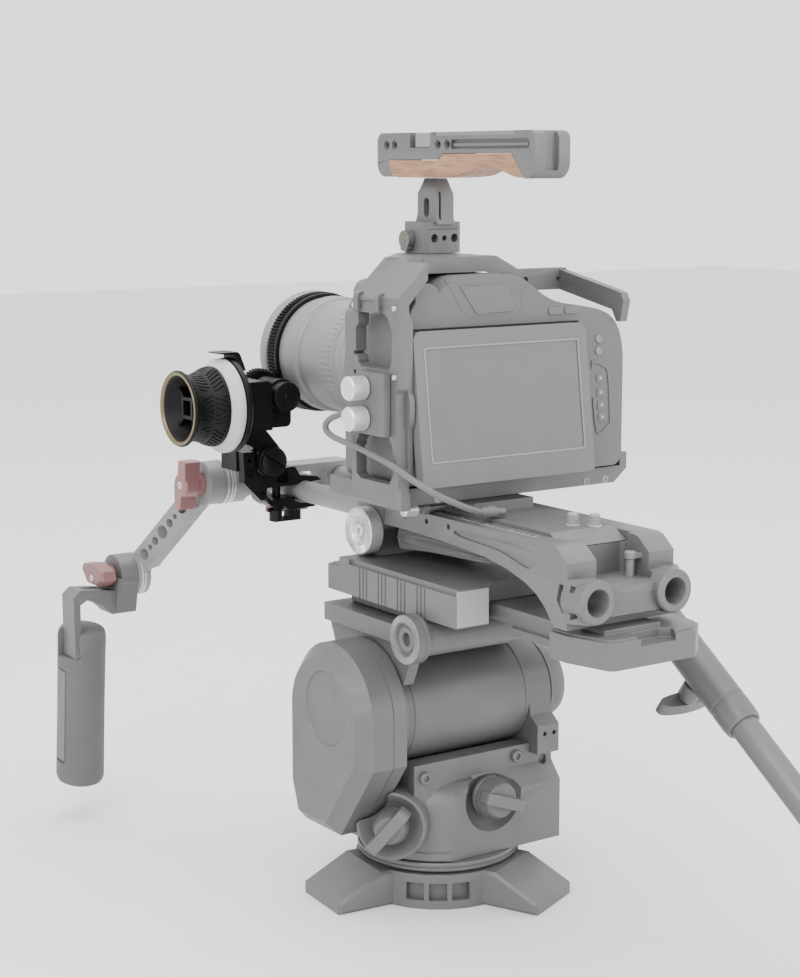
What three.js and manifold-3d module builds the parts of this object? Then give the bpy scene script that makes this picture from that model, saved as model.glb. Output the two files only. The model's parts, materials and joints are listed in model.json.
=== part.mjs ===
// Cinema camera rig: a mirrorless cinema camera in a cage on a shoulder base, with a top handle,
// a follow focus and a hand grip on 15 mm rods, standing on a fluid head and a tripod crown.
// Millimetres. +X is to the operator's right, +Y is the lens direction and +Z is up. The origin is
// on the pan axis, at the flat bottom of the tripod crown.
import * as THREE from 'three';
import { mergeVertices } from 'three/addons/utils/BufferGeometryUtils.js';
import Module from 'manifold-3d';

// Driving dimensions
const GAP = 0.3;                                  // between neighbouring pieces
const FACETS = 0.66;                              // share of the round sides asked for below
const ROD = { x: 30, z: 259, r: 7.5, front: 200 };
const TILT = { z: 130, r: 37 };                   // tilt axis height and drum radius
const ROSETTE = 16;                               // radius of every toothed arm joint
const CROWN = { turn: 55, reach: 90, top: 24, ring: 56 };
const COVER = { out: -93, in: -58, r: 47, z: 133 };
const CROSS = { y: -63, z: 193, r: 12.5, left: -61, right: 70 };
const BAR = { x: 112, y: -75, z: 208, slope: 35, r: 12.7, knob: 80 };
const PLATE = { x: 60, front: 48, rear: -103, bottom: 206, top: 230 };
const BASE = { left: -41, right: 42, top: 268, rear: -186 };
const ARM = { x1: -71, y1: 177.6, z1: 261.8, x2: -104, y2: 253, z2: 185 };
const GRIP = { x: -142, y: 258, bottom: 26, top: 148, lean: 5 };
const LENS = { z: 355, gearFrom: 139, gearTo: 151 };
const GEAR = { module: 0.8, ring: 106, pinion: 40, y: 141, width: 8, angle: 205.9, extra: 0.4,
  lead: 0.9 };                                   // turns the pinion off centre, so that it swings clear
const WHEEL = { y: 120, z: 325 };
const FF = { y: 120, back: 142, pivotX: -62.5, pivotZ: 284.5 };
const LCD = { left: -70, right: 67, bottom: 290, top: 387, y: -66, lean: 7.6, thick: 8 };
const CAGE = { left: -82, inner: -74, bottom: 277, floor: 288, top: 431 };
const HANDLE = { left: -15, right: 12, front: 50, rear: -119, bottom: 480, top: 509 };
const CABLE = { r: 2 };

const wasm = await Module();
wasm.setup();

// Solids
function solid(geometry) {
  const plain = geometry.index ? geometry : geometry.clone();
  plain.deleteAttribute('normal');
  plain.deleteAttribute('uv');
  const merged = mergeVertices(plain, 1e-4);
  const index = Array.from(merged.index.array);
  const point = merged.attributes.position;
  const kept = [];
  let volume = 0;
  const [a, b, c] = [new THREE.Vector3(), new THREE.Vector3(), new THREE.Vector3()];
  for (let i = 0; i < index.length; i += 3) {
    const [p, q, r] = index.slice(i, i + 3);
    if (p === q || q === r || r === p) continue;
    kept.push(p, q, r);
    volume += a.fromBufferAttribute(point, p).dot(
      b.fromBufferAttribute(point, q).cross(c.fromBufferAttribute(point, r)));
  }
  if (volume < 0) kept.reverse();
  return new wasm.Manifold(new wasm.Mesh({
    numProp: 3, vertProperties: new Float32Array(point.array), triVerts: new Uint32Array(kept) }));
}

const AXIS_TURN = {
  x: (g) => g.rotateZ(-Math.PI / 2), y: (g) => g, z: (g) => g.rotateX(Math.PI / 2) };

function box(x0, x1, y0, y1, z0, z1) {
  const g = new THREE.BoxGeometry(x1 - x0, y1 - y0, z1 - z0);
  return solid(g.translate((x0 + x1) / 2, (y0 + y1) / 2, (z0 + z1) / 2));
}

// A cylinder along an axis; u and v are the two other coordinates in x, y, z order.
function cyl(axis, u, v, r, from, to, sides = 24, rTo = r) {
  const g = AXIS_TURN[axis](new THREE.CylinderGeometry(rTo, r, to - from, Math.round(sides * FACETS)));
  const mid = (from + to) / 2;
  const at = { x: [mid, u, v], y: [u, mid, v], z: [u, v, mid] }[axis];
  return solid(g.translate(...at));
}

// A turned shape: profile points are [radius, position along the axis].
function turned(axis, u, v, profile, sides = 40) {
  const points = profile.map(([r, h]) => new THREE.Vector2(r, h));
  const g = AXIS_TURN[axis](new THREE.LatheGeometry(points, Math.round(sides * FACETS)));
  const at = { x: [0, u, v], y: [u, 0, v], z: [u, v, 0] }[axis];
  return solid(g.translate(...at));
}

// An outline pushed along an axis. The outline is (y, z) for x, (x, z) for y and (x, y) for z.
function prism(axis, outline, from, to, bevel = 0) {
  const shape = outline instanceof THREE.Shape
    ? outline : new THREE.Shape(outline.map(([u, v]) => new THREE.Vector2(u, v)));
  const g = new THREE.ExtrudeGeometry(shape, {
    depth: to - from - 2 * bevel, curveSegments: 10, bevelEnabled: bevel > 0,
    bevelThickness: bevel, bevelSize: bevel, bevelOffset: -bevel, bevelSegments: 1 });
  g.translate(0, 0, bevel);
  const [X, Y, Z] = [[1, 0, 0], [0, 1, 0], [0, 0, 1]].map((v) => new THREE.Vector3(...v));
  const turn = new THREE.Matrix4();
  if (axis === 'x') turn.makeBasis(Y, Z, X);
  if (axis === 'y') turn.makeBasis(X, Z, Y.clone().negate());
  g.applyMatrix4(turn);
  const shift = { x: [from, 0, 0], y: [0, to, 0], z: [0, 0, from] }[axis];
  return solid(g.translate(...shift));
}

// A square bar between two points, as wide as w and as high as h.
function bar(p, q, w, h) {
  const [a, b] = [new THREE.Vector3(...p), new THREE.Vector3(...q)];
  const along = b.clone().sub(a);
  const g = new THREE.BoxGeometry(w, h, along.length());
  const side = new THREE.Vector3(0, 0, 1).cross(along).normalize();
  const up = along.clone().cross(side).normalize();
  g.applyMatrix4(new THREE.Matrix4().makeBasis(side, up, along.clone().normalize()));
  return solid(g.translate(...a.add(b).multiplyScalar(0.5).toArray()));
}

const join = (first, ...rest) => rest.reduce((sum, s) => sum.add(s), first);
const cut = (first, ...rest) => rest.reduce((sum, s) => sum.subtract(s), first);

function arc(u, v, r, fromDeg, toDeg, steps) {
  return Array.from({ length: steps + 1 }, (_, i) => {
    const t = THREE.MathUtils.degToRad(fromDeg + (toDeg - fromDeg) * i / steps);
    return [u + r * Math.cos(t), v + r * Math.sin(t)];
  });
}

// Turn a solid about a line through a point (degrees about x, y or z).
function turnAbout(s, axis, degrees, at) {
  const angles = { x: [degrees, 0, 0], y: [0, degrees, 0], z: [0, 0, degrees] }[axis];
  return s.translate(at.map((v) => -v)).rotate(angles).translate(at);
}

// Materials
const look = (color, roughness, metalness) => (
  () => new THREE.MeshStandardMaterial({ color, roughness, metalness }));
const ALLOY = look(0x989898, 0.55, 0.4);
const PALE = look(0xb8b8b8, 0.5, 0.3);
const PLASTIC = look(0x979797, 0.7, 0);
const RUBBER = look(0x8c8c8c, 0.9, 0);
const SILVER = look(0xdcdcdc, 0.3, 0.9);
const PINK = look(0xb08a8b, 0.45, 0.3);
const BLACK = look(0x2b2b2b, 0.5, 0.2);
const WHITE = look(0xd9d9d9, 0.6, 0);
const WOOD = look(0xd3b9a5, 0.7, 0);
const SCREEN = look(0x9a9a9a, 0.3, 0);
const GREY_CORD = look(0xa0a0a0, 0.6, 0);

const rig = new THREE.Group();

function add(name, piece, material) {
  const mesh = piece.getMesh();
  const g = new THREE.BufferGeometry();
  const [n, source] = [mesh.numProp, mesh.vertProperties];
  const position = new Float32Array(source.length / n * 3);
  for (let i = 0; i < source.length / n; i += 1) {
    position.set(source.subarray(i * n, i * n + 3), i * 3);
  }
  g.setAttribute('position', new THREE.BufferAttribute(position, 3));
  g.setIndex(new THREE.BufferAttribute(new Uint32Array(mesh.triVerts), 1));
  const node = new THREE.Mesh(g, material());
  node.name = name;
  rig.add(node);
}

// Tripod crown with its three leg shoulders, and the pan base on it
function crown() {
  const shoulder = prism('y', [[30, 0], [CROWN.reach, 0], [CROWN.reach, 8], [58, CROWN.top],
    [30, CROWN.top]], -26, 26, 2);
  let body = cyl('z', 0, 0, CROWN.ring, 0, CROWN.top, 40);
  for (let i = 0; i < 3; i += 1) body = body.add(shoulder.rotate([0, 0, CROWN.turn + 120 * i]));
  const window = box(50, 60, -6, 6, 6, 18);
  for (let i = 0; i < 3; i += 1) {
    for (const side of [-16, 0, 16]) {
      body = body.subtract(window.rotate([0, 0, CROWN.turn + 60 + 120 * i + side]));
    }
  }
  add('tripod_crown', body, ALLOY);
  add('pan_base', turned('z', 0, 0, [[0, CROWN.top + GAP], [52, CROWN.top + GAP], [55, 27],
    [55, 31.6], [20, 31.6], [20, 58], [0, 58]]), ALLOY);
}

// Pan housing: the lower body that carries the tilt bearings and the two lock knobs
function panHousing() {
  const block = prism('x', [[-48, 32], [-48, 73], [-38, 85], [-38, 99], [38, 99], [38, 85],
    [48, 73], [48, 32]], -46, 69);
  let body = join(block, cyl('z', 0, 0, 54, 32, 72, 40));
  body = body.subtract(box(50, 80, -60, 60, 92, 120));
  body = cut(body, box(-90, -57.6, -60, 60, 50, 120), box(-12, 80, -60, -48, 30, 100));
  body = cut(body,
    cyl('x', 0, TILT.z, TILT.r + 0.6, -60, 80, 40),
    cyl('x', 0, TILT.z, TILT.r + 2.6, -60, -49.4, 40),
    cyl('z', 0, 0, 20.4, 30, 58.6, 32),
    cyl('y', 12, 70, 3.4, -50, -40, 16));
  // boss for the pan lock knob, slanted out of the left rear corner
  const slant = (piece) => turnAbout(piece, 'z', -45, [-28, 0, 0]);
  const boss = slant(cyl('y', -28, 60, 12, -47, -20, 28)).subtract(box(-100, -57.6, -60, 60, 40, 80));
  const well = slant(cyl('y', -28, 60, 3.4, -50, -34, 16));
  add('pan_housing', cut(join(body, boss), well), ALLOY);

  add('pan_lock_knob', slant(join(cyl('y', -28, 60, 18, -55, -47.3, 32),
    turnAbout(box(-32, -24, -63, -54, 43, 77), 'y', 40, [-28, 0, 60]),
    cyl('y', -28, 60, 3, -48, -36, 16))), ALLOY);
  const tiltKnob = join(cyl('y', 12, 70, 20, -55, -48.3, 32), cyl('y', 12, 70, 13, -64, -54, 32, 15),
    box(-4, 28, -68, -60, 66, 74), cyl('y', 12, 70, 3, -49, -42, 16));
  add('tilt_lock_knob', turnAbout(tiltKnob, 'y', 20, [12, 0, 70]), ALLOY);
}

// Left drive cover and right bearing cheek, both screwed to the pan housing
function tiltBearings() {
  const outline = [...arc(0, COVER.z, COVER.r, 0, 180, 16), [-COVER.r, 104], [-8, 51], [35, 51],
    [COVER.r, 76]];
  const bevelled = prism('x', outline, COVER.out, COVER.out + 60, 9);
  const shell = bevelled.intersect(box(COVER.out - 1, COVER.in, -60, 60, 40, 200));
  add('left_drive_cover', cut(shell,
    cyl('x', -4, 138, 25, COVER.out - 1, COVER.out + 1.5, 32),
    cyl('x', 0, TILT.z, 10.4, COVER.in - 10, COVER.in + 1, 24)), ALLOY);

  const cheek = prism('x', [[-46, 92.4], [46, 92.4], [46, 112], [36, 120],
    ...arc(0, TILT.z, 36, 0, 180, 16), [-36, 120], [-46, 112]], 50.6, 69);
  const cap = join(cyl('x', 0, TILT.z, 33, 68, 76, 32), cyl('x', 0, TILT.z, 28, 75, 92, 32, 25));
  add('right_cheek', cut(join(cheek, cap),
    cyl('x', 0, TILT.z, 10.4, 50, 60, 24)), ALLOY);
}

// Tilting head: drum, platform, cross tube with a rosette at each end, and the plates on top
function tiltHead() {
  add('tilt_drum', turned('x', 0, TILT.z, [[0, -66], [10, -66], [10, -57.6], [39, -57.6],
    [39, -50], [TILT.r, -49.6], [TILT.r, 50.2], [10, 50.2], [10, 58], [0, 58]]), ALLOY);
  const platform = prism('x', [[-50, 183], [-50, 196], [48, 196], [48, 183], [37, 173], [30, 150],
    [-30, 150], [-40, 176]], -56, 49);
  const wings = prism('x', [[-50, 184], [-50, 196], [48, 196], [48, 184]], -60.6, 64);
  add('head_platform', join(platform, wings)
    .subtract(cyl('x', 0, TILT.z, TILT.r + 2.4, -60, 70, 40)), ALLOY);

  const disc = (from, to) => cyl('x', CROSS.y, CROSS.z, ROSETTE, from, to, 32);
  const tube = join(cyl('x', CROSS.y, CROSS.z, CROSS.r, CROSS.left - 2, CROSS.right, 28),
    disc(CROSS.left - 11, CROSS.left), disc(CROSS.right, CROSS.right + 9));
  add('handle_cross_tube', cut(tube,
    cyl('x', CROSS.y, CROSS.z, 9, CROSS.left - 12, CROSS.left - 9, 24)), ALLOY);

  add('quick_plate', prism('z', [[-45, -40], [45, -40], [45, 38], [38, 44], [-38, 44], [-45, 38]],
    196.3, PLATE.bottom - GAP), ALLOY);

  let plate = prism('z', [[-PLATE.x, 44], [-52, PLATE.front], [52, PLATE.front], [PLATE.x, 44],
    [PLATE.x, PLATE.rear], [35, PLATE.rear], [26.4, -92], [-26.4, -92], [-35, PLATE.rear],
    [-PLATE.x, PLATE.rear]], PLATE.bottom, PLATE.top);
  plate = cut(plate, box(-26.4, 26.4, -120, -8, 200, 217.4), box(-70, 70, 30, 60, 223, 240));
  for (const side of [-1, 1]) {
    for (const y of [5, -17, -39, -61]) {
      for (const step of [0, 4, 8]) {
        const x = side * PLATE.x;
        plate = plate.subtract(box(x - 0.8, x + 0.8, y - step - 0.8, y - step + 0.8, 205, 231));
      }
    }
  }
  add('tripod_plate', plate, ALLOY);
}

// Pan bar: clamp on the right rosette, sleeve, telescopic tube and rubber grip
function panBar() {
  // before placing, the bar runs along -Y from the clamp
  const along = (r, from, to, sides) => cyl('y', 0, 0, r, -to, -from, sides);
  const tilted = (s) => s.rotate([BAR.slope, 0, 0]).translate([BAR.x, BAR.y, BAR.z]);
  const ring = tilted(along(17, -14, 14, 28));
  const disc = cyl('x', CROSS.y, CROSS.z, ROSETTE, CROSS.right + 9.3, 100, 28);
  add('handle_clamp', cut(join(ring, disc), tilted(along(BAR.r + GAP, -30, 30, 28))), ALLOY);
  add('handle_sleeve', tilted(cut(along(BAR.r, -20, 128, 28), along(10, -30, 150, 24),
    cyl('z', 0, -BAR.knob, 3.3, -20, -8, 16))), ALLOY);
  const outline = [[-20, 3], [-20, -3], [-7, -6], [7, -6], [20, -3], [20, 3], [7, 6], [-7, 6]];
  const wing = join(cyl('z', 0, -BAR.knob, 3, -19, -10.4, 16),
    cyl('z', 0, -BAR.knob, 7, -27, -13.2, 20),
    prism('z', outline.map(([u, v]) => [u, v - BAR.knob]), -35, -26));
  add('sleeve_wing_knob', tilted(wing), ALLOY);
  add('handle_inner_tube', tilted(cut(along(9.6, 60, 300, 24), along(7.8, 50, 290, 24))), ALLOY);
  add('handle_grip', tilted(turned('y', 0, 0, [[0, -330], [12, -330], [14, -327], [14, -232],
    [12, -225], [9.9, -225], [9.9, -300.3], [0, -300.3]], 28)), RUBBER);
}

// Shoulder base: arch, rod blocks, rail in the tripod plate and the pad underneath
function shoulderBase() {
  const { left, right, top, rear } = BASE;
  const arch = prism('x', [[4, top], [-176, top], [rear, top - 9], [rear, 219], [-174, 219],
    [-160, 234], [-147, 241], [-128, 246.5], [-107, 250], [-60, 253], [-20, 254], [4, 254]],
  left, right);
  const yoke = prism('y', [[-40, 228], [-36, 222], [40, 222], [44, 228], [44, 245], [40, 249],
    [16, 249], [12, 243], [-8, 243], [-12, 249], [-36, 249], [-40, 245]], -201.5, rear + 1);
  let base = join(arch, yoke);
  const hole = (x) => cyl('y', x, 237, 8, -203, -170, 24);
  const opening = prism('z', [[-18, -190], [22, -190], [22, -166], [-18, -166]], 243, 300);
  base = cut(base, hole(-ROD.x), hole(ROD.x), opening, box(-25.6, 25.6, -166.5, 5, 262, 300));
  add('shoulder_base', base, ALLOY);

  const block = prism('y', [[left, 232], [left + 4, 230.3], [right - 5, 230.3], [right - 1, 234],
    [right, 266], [38, 269], [-38, 269], [left, 266]], 5, 35);
  add('front_rod_block', cut(block,
    cyl('y', -ROD.x, ROD.z, ROD.r + GAP, 8, 36, 24), cyl('y', ROD.x, ROD.z, ROD.r + GAP, 8, 36, 24),
    box(-16, 16, 4, 36, 240, 256), cyl('x', 20, 248, 5.3, left - 1, left + 5, 20)), ALLOY);
  add('side_rosette', turned('x', 20, 248, [[0, -46], [6, -46], [8, -51], [14, -52.5], [16, -51],
    [16, left - GAP], [5, left - GAP], [5, left + 4], [0, left + 4]], 32), SILVER);
  for (const [name, x] of [['rod_left', -ROD.x], ['rod_right', ROD.x]]) {
    add(name, turned('y', x, ROD.z, [[0, 8.4], [ROD.r, 8.4], [ROD.r, ROD.front - 1],
      [ROD.r - 1, ROD.front], [0, ROD.front]], 24), PALE);
  }
  add('shoulder_pad', prism('x', [[-6, 250], [-4, 244], [-8, 238], [-20, 236], [-60, 240],
    [-100, 241], [-104, 245], [-100, 249.6], [-60, 252.5], [-20, 253.6], [-8, 253.4]], -34, 34), RUBBER);

  const rail = prism('x', [[-45, 206.4], [-45, 217], [-166, 217], [-166, 200], [-113, 200],
    [-113, 206.4]], -26, 26);
  const tray = prism('z', [[-37, -165], [-37, -181], [-30, -213], [39, -213], [51, -200],
    [52, -165]], 198, 216);
  const foot = box(-22, 22, -198, -176, 214, 218.7);
  add('base_rail', cut(join(rail, tray, foot), box(-10, 24, -214, -202, 210, 217)), ALLOY);

  const pin = join(cyl('x', -50, 272.6, 3.8, -64, -44, 20), cyl('x', -50, 272.6, 1.8, -45, -30, 12));
  add('plate_release_pin', pin, SILVER);
}

// Camera slide plate in the base's channel
function slidePlate() {
  const plate = join(box(-25, 25, -162, -5, 262.4, 270), box(-24, 24, -72, -6, 269, 276.6));
  const wedge = prism('x', [[-163, 262], [-163, 271], [-148, 271]], -26, 26);
  add('camera_slide_plate', cut(plate, wedge, cyl('x', -50, 272.6, 2.3, -50, -20, 12),
    cyl('z', 8, -128, 2.6, 260, 272, 12)), ALLOY);
}

// Rod clamp, extension arm and hand grip
function gripArm() {
  const { x1, y1, z1, x2, y2, z2 } = ARM;
  const joint = (x0, x1, y, z, r = ROSETTE) => cyl('x', y, z, r, x0, x1, 28);
  const block = prism('y', [[-44, 252], [-38, 249], [40, 249], [43, 253], [43, 266], [38, 270],
    [-44, 270]], 167, 189);
  const neck = prism('z', [[-43, 167], [-43, 189], [-56, 192], [-56, 163.5]], 249.5, 273);
  add('arm_rod_clamp', cut(join(block, neck, joint(x1, -50, y1, z1)),
    cyl('y', -ROD.x, ROD.z, ROD.r + GAP, 160, 195, 24), cyl('y', ROD.x, ROD.z, ROD.r + GAP, 160, 195, 24),
    joint(x1 - 1, x1 + 14, y1, z1, 3.4), cyl('z', -10, 178, 3.4, 248, 262, 12)), PALE);
  add('rod_clamp_wing', join(box(-27, 5, 174, 182, 235, 242.5), cyl('z', -10, 178, 5, 242, 248.6, 16),
    cyl('z', -10, 178, 3, 248, 258, 12)), PINK);

  // the strap leans outwards from the first joint to the second
  const at = (t) => [x1 - 6 + (x2 + 11 - x1) * t, y1 + (y2 - y1) * t, z1 + (z2 - z1) * t];
  let arm = join(bar(at(0.02), at(0.98), 11, 18), joint(x1 - 12, x1 - GAP, y1, z1),
    joint(x2, x2 + 10, y2, z2));
  for (const [t, r] of [[0.26, 4.6], [0.36, 2.2], [0.43, 3.4], [0.53, 5.2], [0.63, 3.4], [0.7, 2.2],
    [0.78, 4.4]]) {
    const [, y, z] = at(t);
    arm = arm.subtract(cyl('x', y, z, r, -115, -70, 14));
  }
  add('extension_arm', cut(arm, joint(-110, -60, y1, z1, 3.4), joint(-120, -80, y2, z2, 3.4),
    joint(-110, x1 - 12, y1, z1, ROSETTE + 3), joint(-110, x2, y2, z2, ROSETTE + 3),
    joint(x2 + 10, -60, y2, z2, ROSETTE + 3), joint(x1, -50, y1, z1, ROSETTE + 3)), PALE);
  // a wing knob has its back face at x, on the axis of a joint
  const knob = (x, y, z, wing) => join(joint(x - 5, x, y, z, 8), joint(x - 1, x + 24, y, z, 3),
    prism('x', wing.map(([v, w]) => [y + v, z + w]), x - 17, x - 4, 1.5));
  add('arm_wing_knob', knob(x1 - 12 - GAP, y1, z1,
    [[-7, -18], [7, -18], [9, 0], [7, 18], [-7, 18], [-9, 0]]), PINK);

  const [face, back] = [x2 - 14, x2 - GAP];
  const path = [[face, 158], [face, 175], [-130, 177], [-149, 179], [-155, 174], [-155, 128],
    [-149.6, 128], [-149.6, 168], [-144, 171], [-132, 166], [-124, 158]];
  const bracket = join(joint(face, back, y2, z2), prism('y', path, y2 - 10, y2 + 10),
    prism('x', [[y2 - 10, 158], [y2 + 10, 158], [y2 + 16, 185], [y2 - 16, 185]], face - 3, back));
  add('grip_bracket', cut(bracket, joint(face - 5, x2, y2, z2, 3.4),
    joint(-145, face, y2, z2, 8.6)), ALLOY);
  add('grip_wing_knob', knob(face - GAP, y2, z2,
    [[-17, 0], [-15, 7], [0, 11], [16, 9], [18, 4], [9, -5], [-9, -5]]), PINK);

  const ring = new THREE.Shape();
  ring.absellipse(0, 0, 17.5, 20, 0, 2 * Math.PI, false, 0);
  const core = prism('z', ring, GRIP.bottom, GRIP.top, 3);
  const grip = turnAbout(core.translate([GRIP.x, GRIP.y, 0]), 'x', GRIP.lean, [0, GRIP.y, GRIP.top]);
  const slope = turnAbout(box(-200, -100, 200, 320, 148, 190), 'x', 12, [0, GRIP.y - 20, 148]);
  add('hand_grip', cut(grip, slope,
    box(-180, -149.2, y2 - 10.5, y2 + 10.5, 127.5, 160)), RUBBER);
}

// Spur gear outline with straight-sided teeth; turn is the angle of the first tooth in degrees.
function gearShape(teeth, turn, bore) {
  const pitch = GEAR.module * teeth / 2;
  const [tip, root] = [pitch + GEAR.module, pitch - 1.25 * GEAR.module];
  const [tipHalf, rootHalf] = [0.15 / tip, 0.68 / root];
  const points = [];
  for (let i = 0; i < teeth; i += 1) {
    const mid = THREE.MathUtils.degToRad(turn) + 2 * Math.PI * i / teeth;
    for (const [r, a] of [[root, -rootHalf], [tip, -tipHalf], [tip, tipHalf], [root, rootHalf]]) {
      points.push(new THREE.Vector2(r * Math.cos(mid + a), r * Math.sin(mid + a)));
    }
  }
  const shape = new THREE.Shape(points);
  if (bore) {
    const hole = arc(0, 0, bore, 360, 0, 40).slice(1).map(([u, v]) => new THREE.Vector2(u, v));
    shape.holes.push(new THREE.Path(hole));
  }
  return shape;
}

const gearGap = GEAR.module * (GEAR.ring + GEAR.pinion) / 2 + GEAR.extra;
const gearAngle = THREE.MathUtils.degToRad(GEAR.angle);
const PINION = { x: gearGap * Math.cos(gearAngle), z: LENS.z + gearGap * Math.sin(gearAngle) };

// Follow focus: rod clamp, levers, swing arm, gearbox, pinion, pointer, disc and hand wheel
function followFocus() {
  const { y, back, pivotX, pivotZ } = FF;
  const upper = prism('y', [[-66, 264], [-66, 270], [-74, 276], [-86, 278], [-86, 292], [-74, 292],
    ...arc(pivotX, pivotZ, 11, 120, 0, 6), [-46, 277], [-38, 277], [-34, 271], [-20, 269], [-16, 266],
    [-44, 264]], y + 1, back);
  add('ff_rod_clamp', cut(upper, cyl('y', -ROD.x, ROD.z, ROD.r + GAP, 100, 160, 24),
    cyl('z', -48, y + 11, 3.3, 260, 272, 12), cyl('y', pivotX, pivotZ, 3.4, y, back - 2, 16),
    cyl('y', -80, 286, 2.8, y, back - 4, 12), cyl('y', -48, 271, 3.6, y, back + 1, 14)), BLACK);
  const lower = prism('y', [[-62, 262], [-38, 262], [-38, 250.4], [-20, 250.4], [-22, 246],
    [-42, 246], [-62, 254]], y + 1, back);
  add('ff_lower_jaw', cut(lower, cyl('y', -ROD.x, ROD.z, ROD.r + GAP, 100, 160, 24),
    cyl('z', -48, y + 11, 3.3, 240, 264, 12)), BLACK);
  add('ff_clamp_lever', join(cyl('z', -48, y + 11, 3, 238, 270, 12),
    cyl('z', -48, y + 11, 5, 238, 245.6, 16), box(-52, -29, y + 7, y + 14, 237, 244.5)), BLACK);
  add('ff_release_lever', join(prism('y', [[-85, 292], [-76, 292], [-75, 276], [-66, 266], [-67, 258],
    [-71, 257], [-84, 270]], y - 7, y + 0.7), cyl('y', -80, 286, 2.5, y, y + 16, 12)), BLACK);

  const eye = cyl('y', pivotX, pivotZ, 11, y - 6, y + 0.7, 24);
  const web = prism('y', [[-86, 306.5], [-66, 306.5], [-54, 291], [pivotX + 3, 284], [-68, 284],
    [-73, 294], [-86, 300]], y - 6, y + 0.7);
  add('ff_arm', cut(join(eye, web), cyl('y', pivotX, pivotZ, 3.4, y - 20, y + 20, 16)), BLACK);
  add('ff_arm_knob', join(cyl('y', pivotX, pivotZ, 10, y - 13, y - 6.3, 24),
    cyl('y', pivotX, pivotZ, 3, y - 7, y + 18, 16)), BLACK);

  const gearbox = join(box(-86, -64, y - 12, y + 14, 306.8, 341),
    box(-70, -43, y - 2, y + 16, 306.8, 329), cyl('y', PINION.x, PINION.z, 12, y - 6, y + 16, 24),
    cyl('y', PINION.x, PINION.z, 10.4, y - 15, y - 5, 24),
    cyl('x', WHEEL.y, WHEEL.z, 13, -95.6, -85, 24),
    turned('x', WHEEL.y, WHEEL.z, [[0, -95.6], [29, -95.6], [31, -94.4], [31, -92], [29, -91],
      [0, -91]], 36));
  add('ff_gearbox', cut(gearbox, cyl('x', WHEEL.y, WHEEL.z, 5.4, -97, -70, 20),
    cyl('y', PINION.x, PINION.z, 4.4, y - 2, y + 17, 20)), BLACK);
  const pinion = prism('y', gearShape(GEAR.pinion, GEAR.angle + 180 + 180 / GEAR.pinion - GEAR.lead, 0),
    GEAR.y, GEAR.y + GEAR.width).translate([PINION.x, 0, PINION.z]);
  add('ff_drive_gear', join(pinion, cyl('y', PINION.x, PINION.z, 4, y, GEAR.y + 1, 20)), BLACK);

  const hub = cyl('x', WHEEL.y, WHEEL.z, 17, -90.6, -88.4, 28);
  const mast = prism('x', [[WHEEL.y - 12, 335], [WHEEL.y + 8, 339], [WHEEL.y + 8, 362],
    [WHEEL.y - 8, 362]], -90.6, -88.4);
  const flag = prism('y', [[-103, 362], [-103, 361], [-92, 359.6], [-88.4, 359.6], [-84, 349],
    [-82, 349], [-87, 362]], WHEEL.y - 8, WHEEL.y + 8);
  add('ff_pointer', cut(join(hub, mast, flag),
    cyl('x', WHEEL.y, WHEEL.z, 13.4, -93, -86, 24)), BLACK);

  add('ff_marking_disk', turned('x', WHEEL.y, WHEEL.z, [[22, -105], [28, -105], [32.5, -99],
    [32.5, -96], [22, -96], [22, -105]], 40), WHITE);
  add('ff_wheel', turned('x', WHEEL.y, WHEEL.z, [[0, -71], [5, -71], [5, -96], [21.6, -96],
    [21.6, -105.3], [27.5, -105.3], [27, -111], [24, -117], [22.8, -121], [24, -127], [25.8, -131],
    [23, -132], [15, -119], [8, -118], [0, -118]], 36)
    .subtract(box(-120, -109, WHEEL.y - 5, WHEEL.y + 5, WHEEL.z - 5, WHEEL.z + 5)), BLACK);
}

// Lens: barrel, focus ring and the gear ring clamped round it
function lens() {
  add('lens_barrel', turned('y', 0, LENS.z, [[0, 8.4], [31, 8.4], [31, 30], [36, 34], [38, 40],
    [38, 62], [40.5, 64], [40.5, 96], [42.4, 110], [42.4, 131], [35, 131.4], [35, 152.4], [44, 153],
    [45.5, 155], [45.5, 158.5], [44, 160], [36, 160], [33, 154], [0, 154]], 48), PALE);
  add('lens_focus_ring', turned('y', 0, LENS.z, [[35.3, 131.8], [39.5, 131.8], [39.5, 152],
    [35.3, 152], [35.3, 131.8]], 44), PALE);
  add('focus_gear_ring', prism('y', gearShape(GEAR.ring, GEAR.angle, 39.8),
    LENS.gearFrom, LENS.gearTo).translate([0, 0, LENS.z]), BLACK);
}

// Camera body, screen and record button
function camera() {
  const outline = [[-68, 296], [-62, 289.4], [98, 289.4], [107, 298], [107, 370], [103, 381],
    [95, 390], [84, 395], [50, 402], [38, 416], [30, 419], [-26, 419], [-36, 414], [-46, 404],
    [-62, 400], [-69, 392]];
  const body = prism('y', outline, -62, 8, 3);
  const grip = prism('z', [[62, 0], [66, 24], [78, 38], [94, 36], [104, 20], [106, 0]], 292, 396);
  const recess = box(-80, LCD.right + 1.5, -70, -56, 280, 390);
  add('camera_body', cut(join(body, grip), recess, cyl('z', 86, 24, 6.4, 390, 405, 20)), PLASTIC);
  const panel = prism('y', [[LCD.left, LCD.bottom + 4], [LCD.left + 4, LCD.bottom],
    [LCD.right - 4, LCD.bottom], [LCD.right, LCD.bottom + 4], [LCD.right, LCD.top - 6],
    [LCD.right - 6, LCD.top], [LCD.left + 6, LCD.top], [LCD.left, LCD.top - 6]],
  LCD.y - LCD.thick / 2, LCD.y + LCD.thick / 2, 1.5);
  add('lcd_panel', turnAbout(panel, 'x', -LCD.lean, [0, LCD.y, LCD.top]), SCREEN);
  add('record_button', turned('z', 86, 24, [[0, 391.6], [6, 391.6], [6, 397.5], [5, 398.5],
    [0, 398.5]], 20), PINK);
}

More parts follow.
